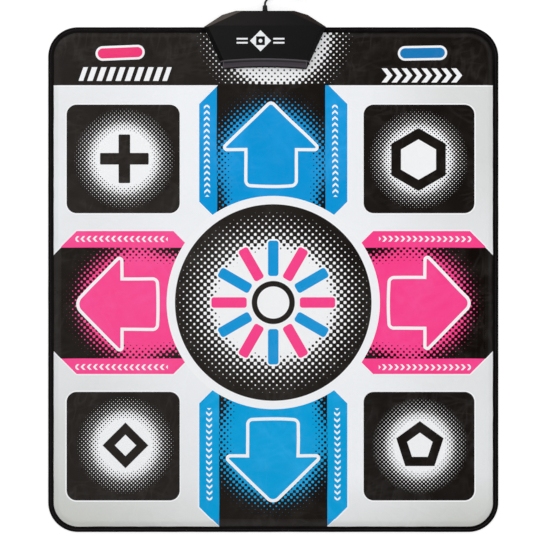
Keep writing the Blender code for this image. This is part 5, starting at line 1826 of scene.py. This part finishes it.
def sheet_finish(pitch=9.0, half_line=0.7):
    """Milky polyester with carbon lines printed across it."""
    sheet = Finish("contact_film")
    lines = [(half_line - way.maths("PINGPONG", pitch)).inked(0.1) for way in sheet.plan(MAT_PLACE)]
    milk = sheet.grain(50.0, detail=3.0)
    sheet.colour = sheet.mix(milk, (0.62, 0.66, 0.66, 1), (0.70, 0.72, 0.71, 1))
    sheet.lay(lines[0].most(lines[1]), (0.03, 0.03, 0.035, 1))
    return sheet.wear(Base_Color=sheet.colour, Roughness=0.3 + milk * 0.15, Specular_IOR_Level=0.5)


def board_finish(pitch=1.3, half_trace=0.25):
    """Green solder mask over copper traces."""
    board = Finish("solder_mask")
    x, y = board.plan(HOUSING_PLACE)
    lines = (half_trace - (x + y * 0.4).maths("PINGPONG", pitch)).inked(0.06)
    traces = lines * (board.grain(9.0) - 0.47).inked(0.01)
    board.colour = board.mix(board.grain(12.0) * 0.6, (0.012, 0.10, 0.035, 1), (0.02, 0.14, 0.05, 1))
    board.lay(traces, (0.05, 0.24, 0.09, 1))
    return board.wear(
        Base_Color=board.colour,
        Roughness=0.32 + board.grain(3.0) * 0.1,
        Normal=board.relief(traces * 0.035),
    )


def dress_nodes(material, *names):
    for name in names:
        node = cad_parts[name]
        if not node.material_slots:
            node.data.materials.append(material)
        for slot in node.material_slots:
            slot.material = material


# %% Every inner piece gets its finish
contacts = [f"{zone}_contact" for zone in zones]
small_metal = [f"{use}_screw_{side}" for use in ("clamp", "board") for side in ("left", "right")]
# Each moulded finish: colour, dusty colour, roughness, grain's size and height, and its nodes
MOULDED = (
    ("carbon_print", (0.028, 0.028, 0.031, 1), (0.05, 0.05, 0.052, 1), 0.5, 1.0, 0.02, contacts),
    ("potting", (0.008, 0.008, 0.008, 1), (0.016, 0.016, 0.016, 1), 0.22, 3.0, 0.05, ["chip_blob"]),
    (
        "lower_shell_plastic", (0.0055, 0.005, 0.005, 1), (0.012, 0.011, 0.011, 1), 0.45, 0.55, 0.035,
        ["housing_bottom", "clamp_bar"],
    ),
    ("capacitor_sleeve", (0.01, 0.012, 0.03, 1), (0.02, 0.02, 0.04, 1), 0.4, 1.0, 0.01, ["capacitor"]),
    ("plug_tongue_plastic", (0.55, 0.55, 0.53, 1), (0.45, 0.45, 0.43, 1), 0.4, 1.0, 0.01, ["plug_tongue"]),
)
for *looks, names in MOULDED:
    dress_nodes(moulded(*looks), *names)
dress_nodes(foam_finish("base_foam_cells", (0.50, 0.50, 0.52, 1), (0.36, 0.36, 0.38, 1)), "base_foam")
dress_nodes(foam_finish("spacer_foam_cells", (0.74, 0.74, 0.72, 1), (0.58, 0.58, 0.56, 1)), "spacer_foam")
dress_nodes(sheet_finish(), "lower_contact_sheet", "upper_contact_sheet")
dress_nodes(board_finish(), "circuit_board")
dress_nodes(steel, "crystal", "plug_shell", *small_metal)
dress_nodes(rubber, "clamp_rubber")
dress_nodes(jacket, "inner_lead")
bare = [name for name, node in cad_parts.items() if not node.hide_render and not node.material_slots]
print(f"Nodes without a finish: {bare}")

# %% [markdown]
# ## The stage
#
# The picture has a pure white ground and even light. The floor is pale, and the camera sees it
# brighter than it is, so that it looks white and keeps only soft shadows.

# %% Floor
FLOOR_HALF = 6.0
FLOOR_LEVEL = -0.2 * MM
FLOOR_PAINT = (0.80, 0.80, 0.80, 1)
FLOOR_SHOWN = (0.50, 0.50, 0.50, 1)
FLOOR_LIFT = 0.62

floor_mesh = bpy.data.meshes.new("floor")
corners = [(x * FLOOR_HALF, y * FLOOR_HALF, FLOOR_LEVEL) for x, y in ((-1, -1), (1, -1), (1, 1), (-1, 1))]
floor_mesh.from_pydata(corners, [], [(0, 1, 2, 3)])
floor = linked("floor", floor_mesh)
ground = Finish("floor_paint")
ground.tree.nodes.remove(ground.tree.nodes["Principled BSDF"])
seen_directly = ground.node("ShaderNodeLightPath", output="Is Camera Ray")
plain = ground.node("ShaderNodeBsdfDiffuse", values={"Color": FLOOR_PAINT})
shown = ground.node("ShaderNodeBsdfDiffuse", values={"Color": FLOOR_SHOWN})
lift = ground.node("ShaderNodeEmission", values={"Color": (1, 1, 1, 1), "Strength": FLOOR_LIFT})
bright = ground.node("ShaderNodeAddShader", values={0: shown, 1: lift})
choice = ground.node("ShaderNodeMixShader", values={0: seen_directly, 1: plain, 2: bright})
ground.feed(ground.tree.nodes["Material Output"].inputs["Surface"], choice)
dress(floor, ground.material)
print("The floor is in place")

# %% [markdown]
# The world is white to the camera and a plain grey light to everything else. Only the gloss sees a
# room in it: dark overhead, brighter to one side, and pale down at the horizon. This keeps the
# blacks of the glossy film black from above.

# %% World
AMBIENT = 0.62
OVERHEAD = 0.40
OVERHEAD_SLOPE = (-2.4, -0.8)
OVERHEAD_LIMITS = (0.12, 0.66)
HORIZON = 0.9
HORIZON_RAMP = (1.0, -0.625)  # the height at which the horizon's light starts, and how far down it grows

world = bpy.data.worlds.new("studio")
world.use_nodes = True
bpy.context.scene.world = world
sky = Recipe(world.node_tree)
path = sky.node("ShaderNodeLightPath", output="Is Camera Ray")
direction = sky.node("ShaderNodeTexCoord", output="Generated")
parts = sky.node("ShaderNodeSeparateXYZ", values={0: direction})
slope = parts * OVERHEAD_SLOPE[0] + parts.other("Y") * OVERHEAD_SLOPE[1]
overhead = (slope + OVERHEAD).most(OVERHEAD_LIMITS[0]).least(OVERHEAD_LIMITS[1])
low_down = parts.other("Z").ramp(*HORIZON_RAMP)
room = overhead * (1 - low_down) + low_down * HORIZON
background = world.node_tree.nodes["Background"]
sky.feed(background.inputs["Color"], (1.0, 1.0, 1.0, 1.0))
white_share = path.most(path.other("Is Transmission Ray"))
shining = path.other("Is Glossy Ray") * (room - AMBIENT)
sky.feed(background.inputs["Strength"], white_share * (1 - AMBIENT) + shining + AMBIENT)
print(f"The world gives a light of {AMBIENT}")

# %% Lamps
# Each lamp's place in metres, its size and its power
LAMPS = {
    "key_lamp": ((-1.2, 1.6, 2.6), 2.5, 30.0),
    "fill_lamp": ((1.7, 0.4, 2.4), 2.5, 16.0),
}
for name, (place, size, power) in LAMPS.items():
    lamp_data = bpy.data.lights.new(name, "AREA")
    lamp_data.size = size
    lamp_data.energy = power
    lamp = linked(name, lamp_data)
    lamp.visible_glossy = False
    lamp.location = place
    lamp.rotation_euler = (-Vector(place)).to_track_quat("-Z", "Y").to_euler()
bpy.context.scene.view_settings.view_transform = "Standard"
print(f"{len(LAMPS)} lamps are up")
